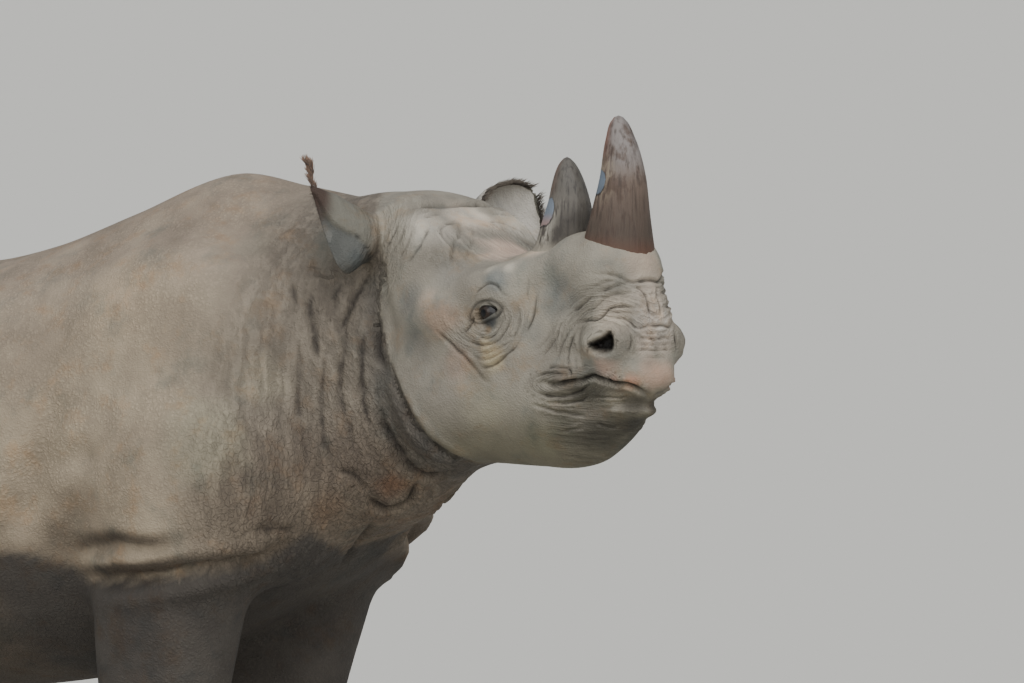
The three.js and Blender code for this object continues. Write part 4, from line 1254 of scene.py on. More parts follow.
# shader maths
class Wire:
    # an output of a shader or geometry node, with the arithmetic used here
    def __init__(self, tree, socket=None):
        self.tree, self.socket = tree, socket

    def make(self, kind, settings, inputs, output=0):
        node = self.tree.nodes.new(kind)
        for key, value in settings.items():
            setattr(node, key, value)
        for key, value in inputs.items():
            if isinstance(value, Wire):
                self.tree.links.new(value.socket, node.inputs[key])
            else:
                node.inputs[key].default_value = value
        return Wire(self.tree, node.outputs[output])

    def maths(self, operation, *values):
        return self.make("ShaderNodeMath", {"operation": operation}, dict(enumerate(values)))

    def __add__(self, other):
        return self.maths("ADD", self, other)

    def __sub__(self, other):
        return self.maths("SUBTRACT", self, other)

    def __rsub__(self, other):
        return self.maths("SUBTRACT", other, self)

    def __mul__(self, other):
        return self.maths("MULTIPLY", self, other)

    __radd__, __rmul__ = __add__, __mul__

    def power(self, other):
        return self.maths("POWER", self, other)

    def size(self):
        return self.maths("ABSOLUTE", self)

    def between(self, low, high):
        # 0 below the first, 1 above the second
        inputs = {"Value": self, "From Min": low, "From Max": high}
        return self.make("ShaderNodeMapRange", {"interpolation_type": "SMOOTHSTEP"}, inputs)

    def mixed(self, first, second, blend="MIX"):
        # colours by this factor
        settings = {"data_type": "RGBA", "blend_type": blend}
        return self.make("ShaderNodeMix", settings, {0: self, 6: first, 7: second}, 2)

    def scaled(self, factors):
        return self.make("ShaderNodeVectorMath", {"operation": "MULTIPLY"}, {0: self, 1: factors})

    def movedBy(self, other):
        return self.make("ShaderNodeVectorMath", {"operation": "ADD"}, {0: self, 1: other})

    def joined(self, y=0.0):
        return self.make("ShaderNodeCombineXYZ", {}, {"X": self, "Y": y})

    def mark(self, name, output=2):
        return self.make("ShaderNodeAttribute", {"attribute_name": name}, {}, output)

    def place(self):
        return self.make("ShaderNodeTexCoord", {}, {}, 3)

    def noise(self, scale, detail=3, rough=0.5, output=0):
        inputs = {"Vector": self, "Scale": scale, "Detail": detail, "Roughness": rough}
        return self.make("ShaderNodeTexNoise", {}, inputs, output)

    def cells(self, scale, feature="F1"):
        return self.make("ShaderNodeTexVoronoi", {"feature": feature}, {"Vector": self, "Scale": scale})

    def bump(self, distance):
        inputs = {"Strength": 1.0, "Distance": distance, "Height": self}
        return self.make("ShaderNodeBump", {}, inputs)


def newPaint(name, constants):
    paint = bpy.data.materials.new(name)
    paint.use_nodes = True
    tree = paint.node_tree
    shader = tree.nodes["Principled BSDF"]
    for key, value in constants.items():
        shader.inputs[key].default_value = value
    return paint, Wire(tree), shader


def feed(shader, wires):
    for key, wire in wires.items():
        wire.tree.links.new(wire.socket, shader.inputs[key])


def tone(r, g, b):
    # a paint colour from 0 to 255 in linear light
    return tuple(((c / 255 + 0.055) / 1.055) ** 2.4 for c in (r, g, b)) + (1,)


# where the hide is rough, striped, ringed or cracked, and its colour from place to place
hideColours = {
    "trunk": (163, 150, 131),
    "back": (152, 139, 124),
    # painted shade for the undersides
    "below": (80, 71, 63),
    "neck": (120, 113, 104),
    "lowNeck": (122, 111, 98),
    "head": (148, 143, 132),
    # painted shade under the jaw
    "jaw": (112, 108, 94),
    # the legs' own muddy dark, also used as painted shade on the near foreleg under the fold of the upper arm
    "legs": (78, 74, 70),
    "feet": (72, 64, 57),
    "earBack": (110, 108, 100),
    "earShade": (84, 86, 85),
    "earCup": (198, 194, 186),
    "earTip": (68, 56, 50),
    # painted shade behind the jaw
    "nearJaw": (106, 102, 96),
    # painted shade inside the nostrils and under the lids' edges
    "pit": (22, 20, 20),
}
hidePatches = [
    # pixel, reach in millimetres, colour, share
    ((441, 318), 50, (162, 136, 117), 0.6),  # pink of the cheek bone
    ((458, 362), 44, (146, 126, 112), 0.6),
    ((424, 300), 34, (186, 168, 150), 0.5),
    ((470, 218), 70, (218, 206, 190), 0.65),  # crown
    ((512, 250), 66, (206, 182, 166), 0.7),  # forehead
    ((540, 250), 44, (216, 196, 176), 0.7),
    ((540, 236), 40, (194, 170, 156), 0.6),
    ((492, 358), 34, (200, 186, 152), 0.7),  # ochre below the eye
    ((487, 345), 24, (206, 190, 158), 0.75),
    ((491, 316), 30, (82, 84, 82), 0.75),  # dark lids, painted shade round the eye
    ((491, 323), 20, (58, 62, 64), 0.85),
    ((489, 331), 13, (132, 112, 88), 0.7),
    ((495, 278), 34, (122, 125, 124), 0.7),  # painted shade, blue grey, under the brow
    ((509, 266), 18, (200, 192, 178), 0.6),  # lit brow
    ((489, 268), 14, (196, 190, 176), 0.5),
    ((448, 270), 44, (136, 135, 130), 0.5),
    ((432, 226), 66, (206, 200, 188), 0.65),  # temple
    ((404, 300), 50, (102, 104, 103), 0.65),  # painted shade in the hollow behind the cheek bone
    ((415, 345), 50, (112, 111, 106), 0.55),
    ((530, 332), 36, (122, 122, 116), 0.5),
    ((560, 296), 56, (118, 119, 115), 0.65),  # side of the nose
    ((615, 312), 50, (190, 178, 162), 0.7),  # top of the muzzle
    ((650, 322), 46, (202, 194, 184), 0.8),
    ((645, 290), 40, (196, 184, 170), 0.6),
    ((640, 262), 40, (184, 166, 150), 0.5),
    ((604, 366), 30, (192, 162, 146), 0.6),  # below the nostril
    ((646, 346), 28, (208, 194, 180), 0.6),
    ((652, 374), 36, (180, 152, 134), 0.7),  # lip
    ((632, 382), 22, (178, 136, 118), 0.6),
    ((614, 379), 14, (168, 126, 110), 0.5),
    ((560, 376), 30, (150, 140, 128), 0.5),  # corner of the mouth
    ((590, 396), 44, (92, 90, 80), 0.7),  # shaded lower lip
    ((632, 402), 34, (84, 80, 72), 0.75),
    ((620, 389), 18, (100, 92, 84), 0.5),
    ((562, 430), 46, (84, 84, 72), 0.6),
    ((600, 436), 60, (72, 70, 62), 0.8),  # chin, in painted shade under the head
    ((630, 424), 38, (62, 60, 54), 0.7),
    ((640, 404), 24, (84, 80, 72), 0.6),
    # painted shade below the cheek and the eye
    ((478, 370), 36, (116, 108, 94), 0.55),
    # painted shade at the rear corner of the eye
    ((482, 313), 12, (52, 52, 50), 0.8),
    ((540, 440), 60, (112, 110, 92), 0.6),
    ((480, 404), 60, (146, 141, 124), 0.5),  # cheek
    ((392, 486), 40, (134, 104, 84), 0.6),  # low on the neck
    ((330, 510), 54, (126, 104, 84), 0.5),
    ((254, 246), 50, (132, 126, 114), 0.6),  # grey of the withers
    ((120, 300), 120, (176, 158, 136), 0.5),
    ((200, 440), 110, (178, 173, 150), 0.5),
    ((262, 380), 70, (176, 168, 148), 0.4),
]
# outlines in pixels: the head, whose first ten points follow the ear and the jaw, and the legs, whose top
# follows the fold over the near upper arm, below which the foreleg takes painted shade
headArea = [(383, 262), (379, 300), (379, 330), (384, 356), (394, 385), (409, 419), (427, 443), (448, 457)]
headArea += [(475, 466), (560, 478), (640, 466), (740, 380), (740, 60), (430, 60), (396, 140), (374, 215)]
headArea = np.array(headArea, float)
jawLine = headArea[:10]
legArea = [(-400, 545), (30, 552), (75, 566), (92, 580), (130, 579), (181, 574), (225, 567), (262, 561)]
legArea += [(288, 544), (308, 531), (340, 548), (372, 580), (392, 1300), (-400, 1300)]
legArea = np.array(legArea, float)
# the dark band behind the jaw, painted shade where the neck runs in under it: pixel rows, how wide it is
# there, where it fades in
jawBand = {"rows": (255, 300, 400), "wide": (10, 22, 42), "starts": (250, 275), "share": 0.8}
mouthCorner = (574, 384)  # pixel


def flowOf(h, pixels):
    # how far round which form each fine wrinkle of the head lies, and how strong they are
    ex, _, ez = skull["eye"]
    nx, ny, nz = onOneSide(nostrilMiddle[None], 1)[0]
    x, y, z = h[:, 0], np.abs(h[:, 1]), h[:, 2]
    eye = np.hypot((x - ex) / 1.15, z - ez + 8)
    nose = np.sqrt(((x - nx) * 0.8) ** 2 + ((y - ny) * 0.45) ** 2 + (z - nz) ** 2)
    corner = np.hypot(pixels[:, 0] - mouthCorner[0], 2.7 * (pixels[:, 1] - mouthCorner[1])) * 1.6
    ear = np.linalg.norm(onOneSide(h, 1) - earShape["root"], axis=1)
    choices = [
        (eye, smoothStep(20, 28, eye) * smoothStep(92, 58, eye) * (0.3 + 0.6 * smoothStep(30, -25, z - ez))),
        (nose, smoothStep(18, 28, nose) * smoothStep(130, 90, nose) * smoothStep(-30, 0, z - nz)),
        (corner, smoothStep(100, 50, corner) * 1.1),
        (z - 0.1 * x, 0.85 * smoothStep(10, -25, z) * smoothStep(400, 470, x)),
        (ear, 0.6 * smoothStep(165, 100, ear)),
        (y + 0.2 * z, 0.8 * smoothStep(140, 190, x) * smoothStep(350, 300, x) * smoothStep(195, 235, z)),
        (0.7 * x + 0.7 * z, np.full(len(h), 0.2)),
    ]
    shares = np.array([share for _, share in choices])
    best = shares.argmax(0)
    flow = np.choose(best, [value for value, _ in choices])
    ordered = np.sort(shares, axis=0)
    return flow / 1000, smoothStep(0.04, 0.34, ordered[-1] - ordered[-2]) * np.clip(ordered[-1], 0, 1)


def headShare(p, h, pixels):
    # 1 on the head, with a soft uneven edge behind the ear and the jaw
    out = signedReach(pixels, headArea) + 2 * noiseAt(p, 30, 9)
    out += 4 * smoothStep(300, 360, pixels[:, 1]) * smoothStep(500, 450, pixels[:, 0])
    return smoothStep(3.5, -3.5, out) * smoothStep(-110, -60, h[:, 0])


def earShares(p, normals, pixels):
    # where the ears are, how far along them, the hollow of their cups and the tip of the near one
    ears, along, cup, nearTip = np.zeros((4, len(p)))
    for sideName in sides:
        q = toEar(sideName, p)
        there = smoothStep(20, 60, q[:, 2]) * smoothStep(120, 90, np.hypot(q[:, 0], q[:, 1]))
        opens = np.diff(fromEar(sideName, [[0, 0, 0], [1, 0, 0]]), axis=0)[0]
        facing = normals @ opens > 0.05
        ears = np.maximum(ears, there)
        along += np.where(there > 0, q[:, 2], 0)
        if sideName == "right":
            facing = facing * smoothStep(4, 9, reachOf(pixels, earEdge)[0])
            nearTip = there * smoothStep(112, 134, q[:, 2])
        cup = np.maximum(cup, there * facing)
    return ears, along, cup, nearTip


def zonesOf(mesh):
    p, normals = pointsOf(mesh), normalsOf(mesh)
    h, pixels, noise = bodyToHead(p), pixelOf(p), noiseAt(p, 160, 7)
    onHead = headShare(p, h, pixels)
    onNeck = smoothStep(780, 960, p[:, 0] + 30 * noise) * (1 - onHead)
    zones = {"p": p, "up": normals[:, 2], "h": h, "pixels": pixels, "noise": noise}
    zones.update(onHead=onHead, onNeck=onNeck)
    zones.update(zip(("ears", "along", "cup", "nearTip"), earShares(p, normals, pixels)))
    zones["jawReach"] = reachOf(pixels, jawLine)[0]
    zones["legs"] = smoothStep(620, 540, p[:, 2])
    return zones


def hideTone(zones, flap, pit):
    # colours laid over one another from the trunk to the tips of the ears
    p, up, h, pixels, noise, onHead, onNeck = list(zones.values())[:7]
    colours = {name: np.array(tone(*c)[:3]) for name, c in hideColours.items()}
    made = np.tile(colours["trunk"], (len(p), 1))

    def blend(colour, share):
        made[:] += share[:, None] * (colour - made)

    blend(colours["back"], smoothStep(0.2, 0.9, up))
    # painted shade on the faces that look down
    blend(colours["below"], smoothStep(-0.1, -0.75, up) * 0.85)
    blend(colours["neck"], onNeck * 0.85)
    blend(colours["lowNeck"], onNeck * smoothStep(1120, 980, p[:, 2] + 30 * noise))
    # dark legs: their own muddy colour, and on the near foreleg painted shade under the fold of the upper arm
    foreleg = smoothStep(4, -6, signedReach(pixels, legArea)) * smoothStep(300, 420, p[:, 0])
    blend(colours["legs"], np.maximum(foreleg, 0.8 * smoothStep(790, 380, p[:, 2] + 60 * noise)))
    blend(colours["feet"], smoothStep(190, 60, p[:, 2]))
    blend(colours["head"], onHead)
    # painted shade on the jaw's downward faces
    blend(colours["jaw"], onHead * smoothStep(0.1, -0.6, up) * smoothStep(60, -20, h[:, 2]))
    # painted shade in a band on the neck behind the jaw
    reach = np.interp(pixels[:, 1], jawBand["rows"], jawBand["wide"])
    band = smoothStep(1, 0.2, (zones["jawReach"] + 8 * noiseAt(p, 60, 12)) / reach) * (1 - onHead)
    band *= smoothStep(*jawBand["starts"], pixels[:, 1]) * smoothStep(900, 980, p[:, 0])
    blend(colours["nearJaw"], jawBand["share"] * band)
    wobble = 1 + 0.25 * noiseAt(p, 26, 11)
    for pixel, reach, colour, share in hidePatches:
        inHead = signedReach(np.array([pixel], float), headArea)[0] < 0
        area = share * (onHead if inHead else 1 - onHead)
        for spot in castSpots(pixel):
            far = np.linalg.norm(p - spot, axis=1) * wobble
            blend(np.array(tone(*colour)[:3]), area * smoothStep(reach, 0.25 * reach, far))
    blend(colours["earBack"], zones["ears"])
    blend(colours["earCup"], zones["cup"])
    blend(colours["earShade"], flap * 0.9)
    blend(colours["earTip"], zones["nearTip"])
    # painted shade in the nostrils and under the lids' edges
    blend(colours["pit"], pit * 0.97)
    return np.concatenate([np.clip(made, 0, 1), np.ones((len(p), 1))], 1)


def roughMarks(zones):
    # where the hide has granules, fine wrinkles, folds down the neck, rings round the legs and cracks
    p, up, h, pixels, _, onHead, onNeck = list(zones.values())[:7]
    ears, along, legs, jawReach = (zones[name] for name in ("ears", "along", "legs", "jawReach"))
    flow, lined = flowOf(h, pixels)
    byJaw = smoothStep(110, 60, jawReach) * onNeck * smoothStep(240, 280, pixels[:, 1])
    knees = smoothStep(230, 330, p[:, 2]) * smoothStep(560, 460, p[:, 2])
    ankles = smoothStep(200, 120, p[:, 2]) * smoothStep(50, 80, p[:, 2])
    under = smoothStep(-0.1, -0.7, up)
    lowNeck = onNeck * smoothStep(1220, 1020, p[:, 2])
    return {
        "flow": np.where(ears > 0.2, along / 1000, np.where(onHead > 0.5, flow, jawReach * 0.0011)),
        "lined": (lined * onHead + byJaw) * (1 - ears) + ears * (0.22 + 0.6 * smoothStep(90, 30, along)),
        "grain": (1 - 0.85 * onHead) * (1 - 0.55 * onNeck) * (1 - 0.8 * ears) * (1 - 0.3 * legs),
        "stripe": onNeck * smoothStep(820, 900, p[:, 0]) * (1 - ears) * (1 - 0.6 * byJaw),
        "ring": np.clip(knees * 0.8 + ankles + 0.35 * legs, 0, 1),
        "net": np.clip(0.8 * lowNeck + 0.6 * under * (1 - onHead) + 0.45 * legs, 0, 1) * (1 - ears),
    }


zones = zonesOf(skinMesh)
setMarks(skinMesh, marks)
setMarks(skinMesh, roughMarks(zones))
setMarks(skinMesh, {"tone": hideTone(zones, flap, marks["pit"])})
print("hide marked")


# how many to a metre
hideGrain = {"pebbles": 140, "smallPebbles": 270, "cracks": 112}
hideGrain.update(neckFolds=62, legRings=52, wrinkles=165)


def hidePaint():
    paint, wire, shader = newPaint("mottledHideWithShade", {"IOR": 1.45, "Specular IOR Level": 0.3})
    place = wire.place()
    crease, stripe = wire.mark("crease"), wire.mark("stripe")
    grain = wire.mark("grain") * (0.25 + 0.75 * place.noise(10, 3, 0.6).between(0.36, 0.62))
    ring, net, pit = wire.mark("ring"), wire.mark("net"), wire.mark("pit")
    flow, lined = wire.mark("flow"), wire.mark("lined")
    wander = place.noise(34, 2, 0.6, 1)
    bent = place.movedBy(wander.scaled((0.011,) * 3))
    # granules of the hide, with finer ones between them
    pebble = 1 - bent.cells(hideGrain["pebbles"]).between(0.05, 0.62)
    small = 1 - bent.cells(hideGrain["smallPebbles"]).between(0.1, 0.7)
    # cracks that run into a net, and long ones down the neck and round the legs
    cracks = bent.scaled((1, 1, 0.62)).cells(hideGrain["cracks"], "DISTANCE_TO_EDGE")
    wide = 1 - cracks.between(0.0, 0.16)
    down = place.movedBy(wander.scaled((0.016,) * 3)).scaled((1, 1, 0.13))
    fold = down.noise(hideGrain["neckFolds"], 4, 0.62).between(0.36, 0.64)
    around = place.movedBy(wander.scaled((0.014, 0.014, 0.022))).scaled((0.22, 0.22, 1))
    rings = around.noise(hideGrain["legRings"], 3, 0.55).between(0.38, 0.62)
    # fine wrinkles that run round the eyes, nostrils and mouth
    along = place.scaled((0.17,) * 3).movedBy(wander.scaled((0.006,) * 3)).movedBy(flow.joined())
    lines = along.noise(hideGrain["wrinkles"], 3, 0.62).between(0.34, 0.66)
    soft = place.noise(9, 4, 0.6)
    fine = place.noise(420, 2, 0.6)
    height = grain * (0.9 * pebble) + 0.6 * small + lined * (2.1 * lines)
    height = height + stripe * (2.4 * fold) + ring * (2.6 * rings) - net * (1.1 * wide)
    height = height + 0.25 * fine + 2.0 * soft
    # colour: mottling, and painted shade in every groove and between the granules
    mottle = place.noise(6.5, 5, 0.62).between(0.3, 0.7).mixed(tone(214, 211, 208), tone(255, 253, 248))
    settings = {"data_type": "RGBA", "blend_type": "MULTIPLY"}
    colour = wire.make("ShaderNodeMix", settings, {0: 1.0, 6: wire.mark("tone", 0), 7: mottle}, 2)
    warm = place.noise(17, 4, 0.65).between(0.5, 0.72)
    colour = (warm * 0.8).mixed(colour, tone(255, 238, 222), "MULTIPLY")
    cool = place.movedBy((3.1, 1.7, 0.4)).noise(13, 4, 0.6).between(0.52, 0.74)
    colour = (cool * 0.8).mixed(colour, tone(214, 224, 230), "MULTIPLY")
    # painted shade: darker between the granules, in the cracks, folds, rings and wrinkles, and in the creases
    dim = 1 - grain * ((1 - pebble) * 0.22)
    dim = dim * (1 - net * (0.22 * wide)) * (1 - stripe * ((1 - fold) * 0.34))
    dim = dim * (1 - ring * ((1 - rings) * 0.25)) * (1 - lined * ((1 - lines) * 0.32))
    dim = dim * (1 - crease.between(0, 1) * 0.75) * (1 - (1 - small) * 0.07)
    colour = (1 - dim).mixed(colour, tone(36, 32, 30))
    rough = 0.86 - 0.35 * pit - 0.1 * (lined * lines)
    feed(shader, {"Base Color": colour, "Roughness": rough, "Normal": height.bump(0.001)})
    return paint


def finishedPiece(name, mesh, nodes, paint):
    mesh.materials.clear()
    mesh.materials.append(paint)
    piece = newObject(name, mesh)
    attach(piece, "root")
    if nodes:
        mesh.polygons.foreach_set("use_smooth", np.ones(len(mesh.polygons), bool))
        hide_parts(*nodes)


def netPiece(name, net, nodes, paint, marks):
    points, faces = net
    mesh = newMesh(name, toScene(points), faces)
    setMarks(mesh, marks)
    turnOut(mesh)
    finishedPiece(name, mesh, nodes, paint)


setPoints(skinMesh, toScene(pointsOf(skinMesh)))
fleshNodes = ["torso", "neck", "head", "tail", "ear_right", "ear_left", *stance]
finishedPiece("skin", skinMesh, fleshNodes, hidePaint())


# horns
horns = {
    "front": {
        "place": (529, 0, 244),
        "height": 241,
        "bend": (5, 11, 0),
        "tilt": 0.2,  # how much lower the front of the base is
        "rows": [  # share of the height, half width, half depth
            (-0.2, 50, 52),
            (-0.07, 62, 64),
            (0, 67, 69),
            (0.08, 61, 63),
            (0.27, 52, 54),
            (0.4, 46.5, 48.5),
            (0.585, 38.5, 40.5),
            (0.765, 30, 32),
            (0.86, 24, 25),
            (0.95, 17, 17),
            (1, 8, 8),
        ],
    },
    "rear": {
        "place": (386, 0, 238),
        "height": 174,
        "bend": (8, 15, 10),
        "tilt": 0,
        "rows": [
            (-0.3, 60, 67),
            (0, 57, 64),
            (0.15, 48, 54),
            (0.476, 39, 43),
            (0.6, 34, 37),
            (0.74, 28, 30),
            (0.863, 21, 22),
            (0.95, 13.5, 14),
            (1, 6, 6),
        ],
    },
}


def hornNet(shape, seed):
    rows, around = 170, 120
    root = shape["rows"][0][0]
    share = root + (1 - root) * (1 - (1 - np.linspace(0, 1, rows)) ** 1.15)
    angle = np.linspace(0, 2 * np.pi, around, endpoint=False)
    half, deep = smoothRows(shape["rows"])(share)
    near, middle, tip = shape["bend"]
    lean = smoothRows([(root, 0), (0, 0), (0.3, near), (0.6, middle), (1, tip)])(share)[0]
    s, a = np.meshgrid(share, angle, indexing="ij")
    ways = np.stack([np.cos(a), np.sin(a), s * 0], 2).reshape(-1, 3)
    up = s.ravel() * shape["height"]
    fibre = noiseAt(ways * (9, 9, 0) + np.stack([0 * up, 0 * up, up / 90], 1), 1.0, seed)
    fine = noiseAt(ways * (26, 26, 0) + np.stack([0 * up, 0 * up, up / 60], 1), 1.0, seed + 1)
    dent = noiseAt(ways * 1.6 + np.stack([0 * up, 0 * up, up / 46], 1), 1.0, seed + 2)
    skirt = smoothStep(0.3, 0.02, s.ravel())
    worn = 1.1 * dent + (0.5 - 0.15 * skirt) * fibre + (0.25 - 0.1 * skirt) * fine
    worn *= smoothStep(1.02, 0.85, s.ravel()) * 0.75 + 0.25
    worn = worn.reshape(rows, around)
    x = lean[:, None] + (deep[:, None] + worn) * np.cos(angle)
    y = (half[:, None] + worn) * np.sin(angle)
    tilt = shape["tilt"] * smoothStep(0.4, 0, share) * deep
    rings = np.stack([x, y, (share * shape["height"])[:, None] - tilt[:, None] * np.cos(angle)], 2)
    rings += shape["place"]
    rings = headToBody(rings.reshape(-1, 3)).reshape(rows, around, 3)
    net = netOf(rings, rings[0].mean(0), rings[-1].mean(0) + (0, 0, 3))
    front, right = np.cos(a).ravel(), -np.sin(a).ravel()
    marks = {"share": s.ravel(), "front": front, "right": right, "groove": -worn.ravel() / 3}
    return net, {key: np.concatenate([[v[0]], v, [v[-1]]]) for key, v in marks.items()}


def hornPaint(name, tones, patch):
    colours = {key: tone(*value) for key, value in tones.items()}
    paint, wire, shader = newPaint(name, {"IOR": 1.5, "Specular IOR Level": 0.35})
    place, share = wire.place(), wire.mark("share")
    front, right, groove = wire.mark("front"), wire.mark("right"), wire.mark("groove")
    fibre = place.movedBy(place.noise(20, 2, 0.5, 1).scaled((0.004,) * 3)).scaled((1, 1, 0.07))
    streak = fibre.noise(150, 4, 0.62)
    hair = fibre.noise(520, 3, 0.6)
    blot = place.scaled((1, 1, 0.6)).noise(30, 5, 0.62)
    rise = share + 0.3 * (blot - 0.5)
    colour = rise.between(0.14, 0.46).mixed(colours["low"], colours["middle"])
    ahead = (front + 0.7 * (streak - 0.5)).between(-0.75, 0.35)
    top = ahead.mixed(colours["topBehind"], colours["topFront"])
    colour = rise.between(0.5, 0.74).mixed(colour, top)
    pale = (rise - patch["pale"]).size().between(0.26, 0.08) * (front + 0.3 * blot).between(0.75, 0.2)
    colour = (pale * streak.between(0.4, 0.54) * 0.9).mixed(colour, colours["streak"])
    colour = (blot.between(0.48, 0.6) * 0.75).mixed(colour, colours["stain"])
    colour = ((1 - streak).between(0.47, 0.68) * 0.65).mixed(colour, colours["dark"])
    shaded = (front + 0.5 * (blot - 0.5)).between(-0.1, 0.35) * share.between(0.6, 0.35) * patch["shade"]
    colour = shaded.mixed(colour, colours["dark"])
    colour = (share.between(0.2, 0.04) * 0.75).mixed(colour, colours["skirt"])
    # an oval chip, with a dark edge under it
    off = (share - patch["height"]) * (1 / patch["half"])
    side = (math.hypot(1, patch["turn"]) - (right + patch["turn"] * front)) * (1 / patch["wide"])
    oval = off.power(2.0) + side.power(2.0) + 0.9 * (hair - 0.5) + 1.2 * (blot - 0.5)
    chip = off.between(-0.9, 0.1).mixed(colours["patchLow"], colours["patch"])
    under = oval.between(1.6, 1.25) * off.between(0.0, -0.5)
    colour = (under * 0.85).mixed(colour, tone(34, 30, 30))
    there = oval.between(1.15, 1.0)
    colour = there.mixed(colour, chip)
    # painted shade in the dents and grooves of the horn
    colour = (groove.between(0.2, 1.2) * 0.5).mixed(colour, colours["dark"])
    high = 1.0 * streak + 0.5 * hair + 1.4 * blot - 1.2 * there
    rough = 0.7 - 0.14 * rise.between(0.3, 0.9)
    feed(shader, {"Base Color": colour, "Roughness": rough, "Normal": high.bump(0.0014)})
    return paint


hornPaints = {
    "front": hornPaint(
        "frontHorn",
        {
            "low": (76, 65, 56),
            "middle": (98, 84, 74),
            "topFront": (121, 114, 110),
            "topBehind": (116, 76, 60),
            "streak": (126, 114, 98),
            "stain": (76, 60, 50),
            "dark": (56, 46, 40),
            "skirt": (88, 60, 46),
            "patch": (98, 108, 120),
            "patchLow": (94, 102, 112),
        },
        {"height": 0.53, "half": 0.085, "turn": -1.15, "wide": 0.5, "pale": 0.58, "shade": 0.25},
    ),
    "rear": hornPaint(
        "rearHorn",
        {
            "low": (106, 100, 90),
            "middle": (96, 91, 84),
            "topFront": (86, 82, 76),
            "topBehind": (100, 80, 68),
            "streak": (160, 154, 142),
            "stain": (70, 64, 58),
            "dark": (44, 40, 38),
            "skirt": (158, 150, 134),
            "patch": (108, 116, 126),
            "patchLow": (144, 122, 118),
        },
        {"height": 0.46, "half": 0.135, "turn": -0.7, "wide": 0.29, "pale": 0.3, "shade": 0.55},
    ),
}
for seed, (name, shape) in enumerate(horns.items()):
    net, hornMarks = hornNet(shape, 40 + seed)
    netPiece(f"{name}Horn", net, [f"horn_{name}"], hornPaints[name], hornMarks)
print("horns made")


# eyes
eyeShape = {
    "cornea": 1.3,  # how far it stands proud of the ball
    "corneaEdge": (0.62, 0.25),
    "iris": (0.2, 0.17),
    "pupil": (0.1, 0.085),
}


def eyeNet(side):
    rows, around = 48, 64
    tilt = np.linspace(0, np.pi, rows + 2)[1:-1]
    angle = np.linspace(0, 2 * np.pi, around, endpoint=False)
    t, a = np.meshgrid(tilt, angle, indexing="ij")
    # the poles lie on the line of sight
    radius = skull["eyeRadius"] + eyeShape["cornea"] * smoothStep(*eyeShape["corneaEdge"], t)
    ball = np.stack([radius * np.sin(t) * np.cos(a), -radius * np.cos(t), radius * np.sin(t) * np.sin(a)], 2)
    centre = np.array(skull["eye"]) * (1, side, 1)
    rings = headToBody(ball.reshape(-1, 3) * (1, -side, 1) + centre).reshape(rows, around, 3)
    front = headToBody(centre + (0, side * (skull["eyeRadius"] + eyeShape["cornea"]), 0))[0]
    back = headToBody(centre - (0, side * skull["eyeRadius"], 0))[0]
    return netOf(rings, front, back), {"turn": np.concatenate([[0], t.ravel(), [np.pi]]) / np.pi}


def eyePaint():
    paint, wire, shader = newPaint(
        "darkEye",
        {"IOR": 1.4, "Specular IOR Level": 0.2, "Roughness": 0.3, "Coat Weight": 0.3, "Coat Roughness": 0.03},
    )
    place, turn = wire.place(), wire.mark("turn")
    iris, pupil = turn.between(*eyeShape["iris"]), turn.between(*eyeShape["pupil"])
    speck = place.noise(900, 3, 0.6)
    colour = iris.mixed(tone(24, 22, 21), tone(34, 26, 21))
    colour = (iris * speck.between(0.4, 0.7) * 0.4).mixed(colour, tone(62, 48, 36))
    colour = pupil.mixed(colour, tone(6, 6, 8))
    feed(shader, {"Base Color": colour})
    return paint


darkEye = eyePaint()
for sideName, side in sides.items():
    net, eyeMarks = eyeNet(side)
    netPiece(f"{sideName}Eye", net, [f"eye_{sideName}"], darkEye, eyeMarks)


# nails
nailShape = {
    "top": 73.5,
    "widest": 22,  # height at which it is widest
    "round": 52,
    "deep": 30,
    "lean": 0.176,
    "set": (0.93, 0.98),  # where on the foot's outline it sits
    "half": {"middle": 47, "aside": 38},
    "ridges": (0.012, 9, 24),  # share, number round the nail, and the height over which they drift
    "steps": (0.008, 3.1),
}


def nailNet(footX, footY, footLong, footWide, angle, half):
    rows, around = 26, 48
    height = np.linspace(0, nailShape["top"], rows)
    turn = np.linspace(0, 2 * np.pi, around, endpoint=False)
    size = np.sqrt(np.maximum(1 - ((height - nailShape["widest"]) / nailShape["round"]) ** 2, 0.0005))
    h, a = np.meshgrid(height, turn, indexing="ij")
    rough, count, drift = nailShape["ridges"]
    fine, step = nailShape["steps"]
    ridge = 1 + rough * np.sin(count * a + h / drift) + fine * np.sin(h / step)
    lean = nailShape["lean"] * (h - nailShape["widest"])
    x = nailShape["deep"] * size[:, None] * np.cos(a) * ridge - lean
    y = half * size[:, None] * np.sin(a) * ridge
    c, s = math.cos(angle * deg), math.sin(angle * deg)
    ahead, aside = nailShape["set"]
    centreX, centreY = footX + ahead * footLong * c, footY + aside * footWide * s
    rings = np.stack([centreX + x * c - y * s, centreY + x * s + y * c, h], 2)
    return netOf(rings, rings[0].mean(0), rings[-1].mean(0) + (0, 0, 0.6))


def nailPaint():
    paint, wire, shader = newPaint("wornNail", {"IOR": 1.5})
    place = wire.place()
    band = place.scaled((0.12, 0.12, 1)).noise(170, 3, 0.6)
    blot = place.noise(40, 4, 0.6)
    colour = blot.between(0.35, 0.65).mixed(tone(92, 82, 70), tone(120, 108, 92))
    colour = (band.between(0.5, 0.7) * 0.5).mixed(colour, tone(70, 60, 52))
    bump = (band + 0.5 * blot).bump(0.0012)
    feed(shader, {"Base Color": colour, "Roughness": 0.5 + 0.2 * blot, "Normal": bump})
    return paint


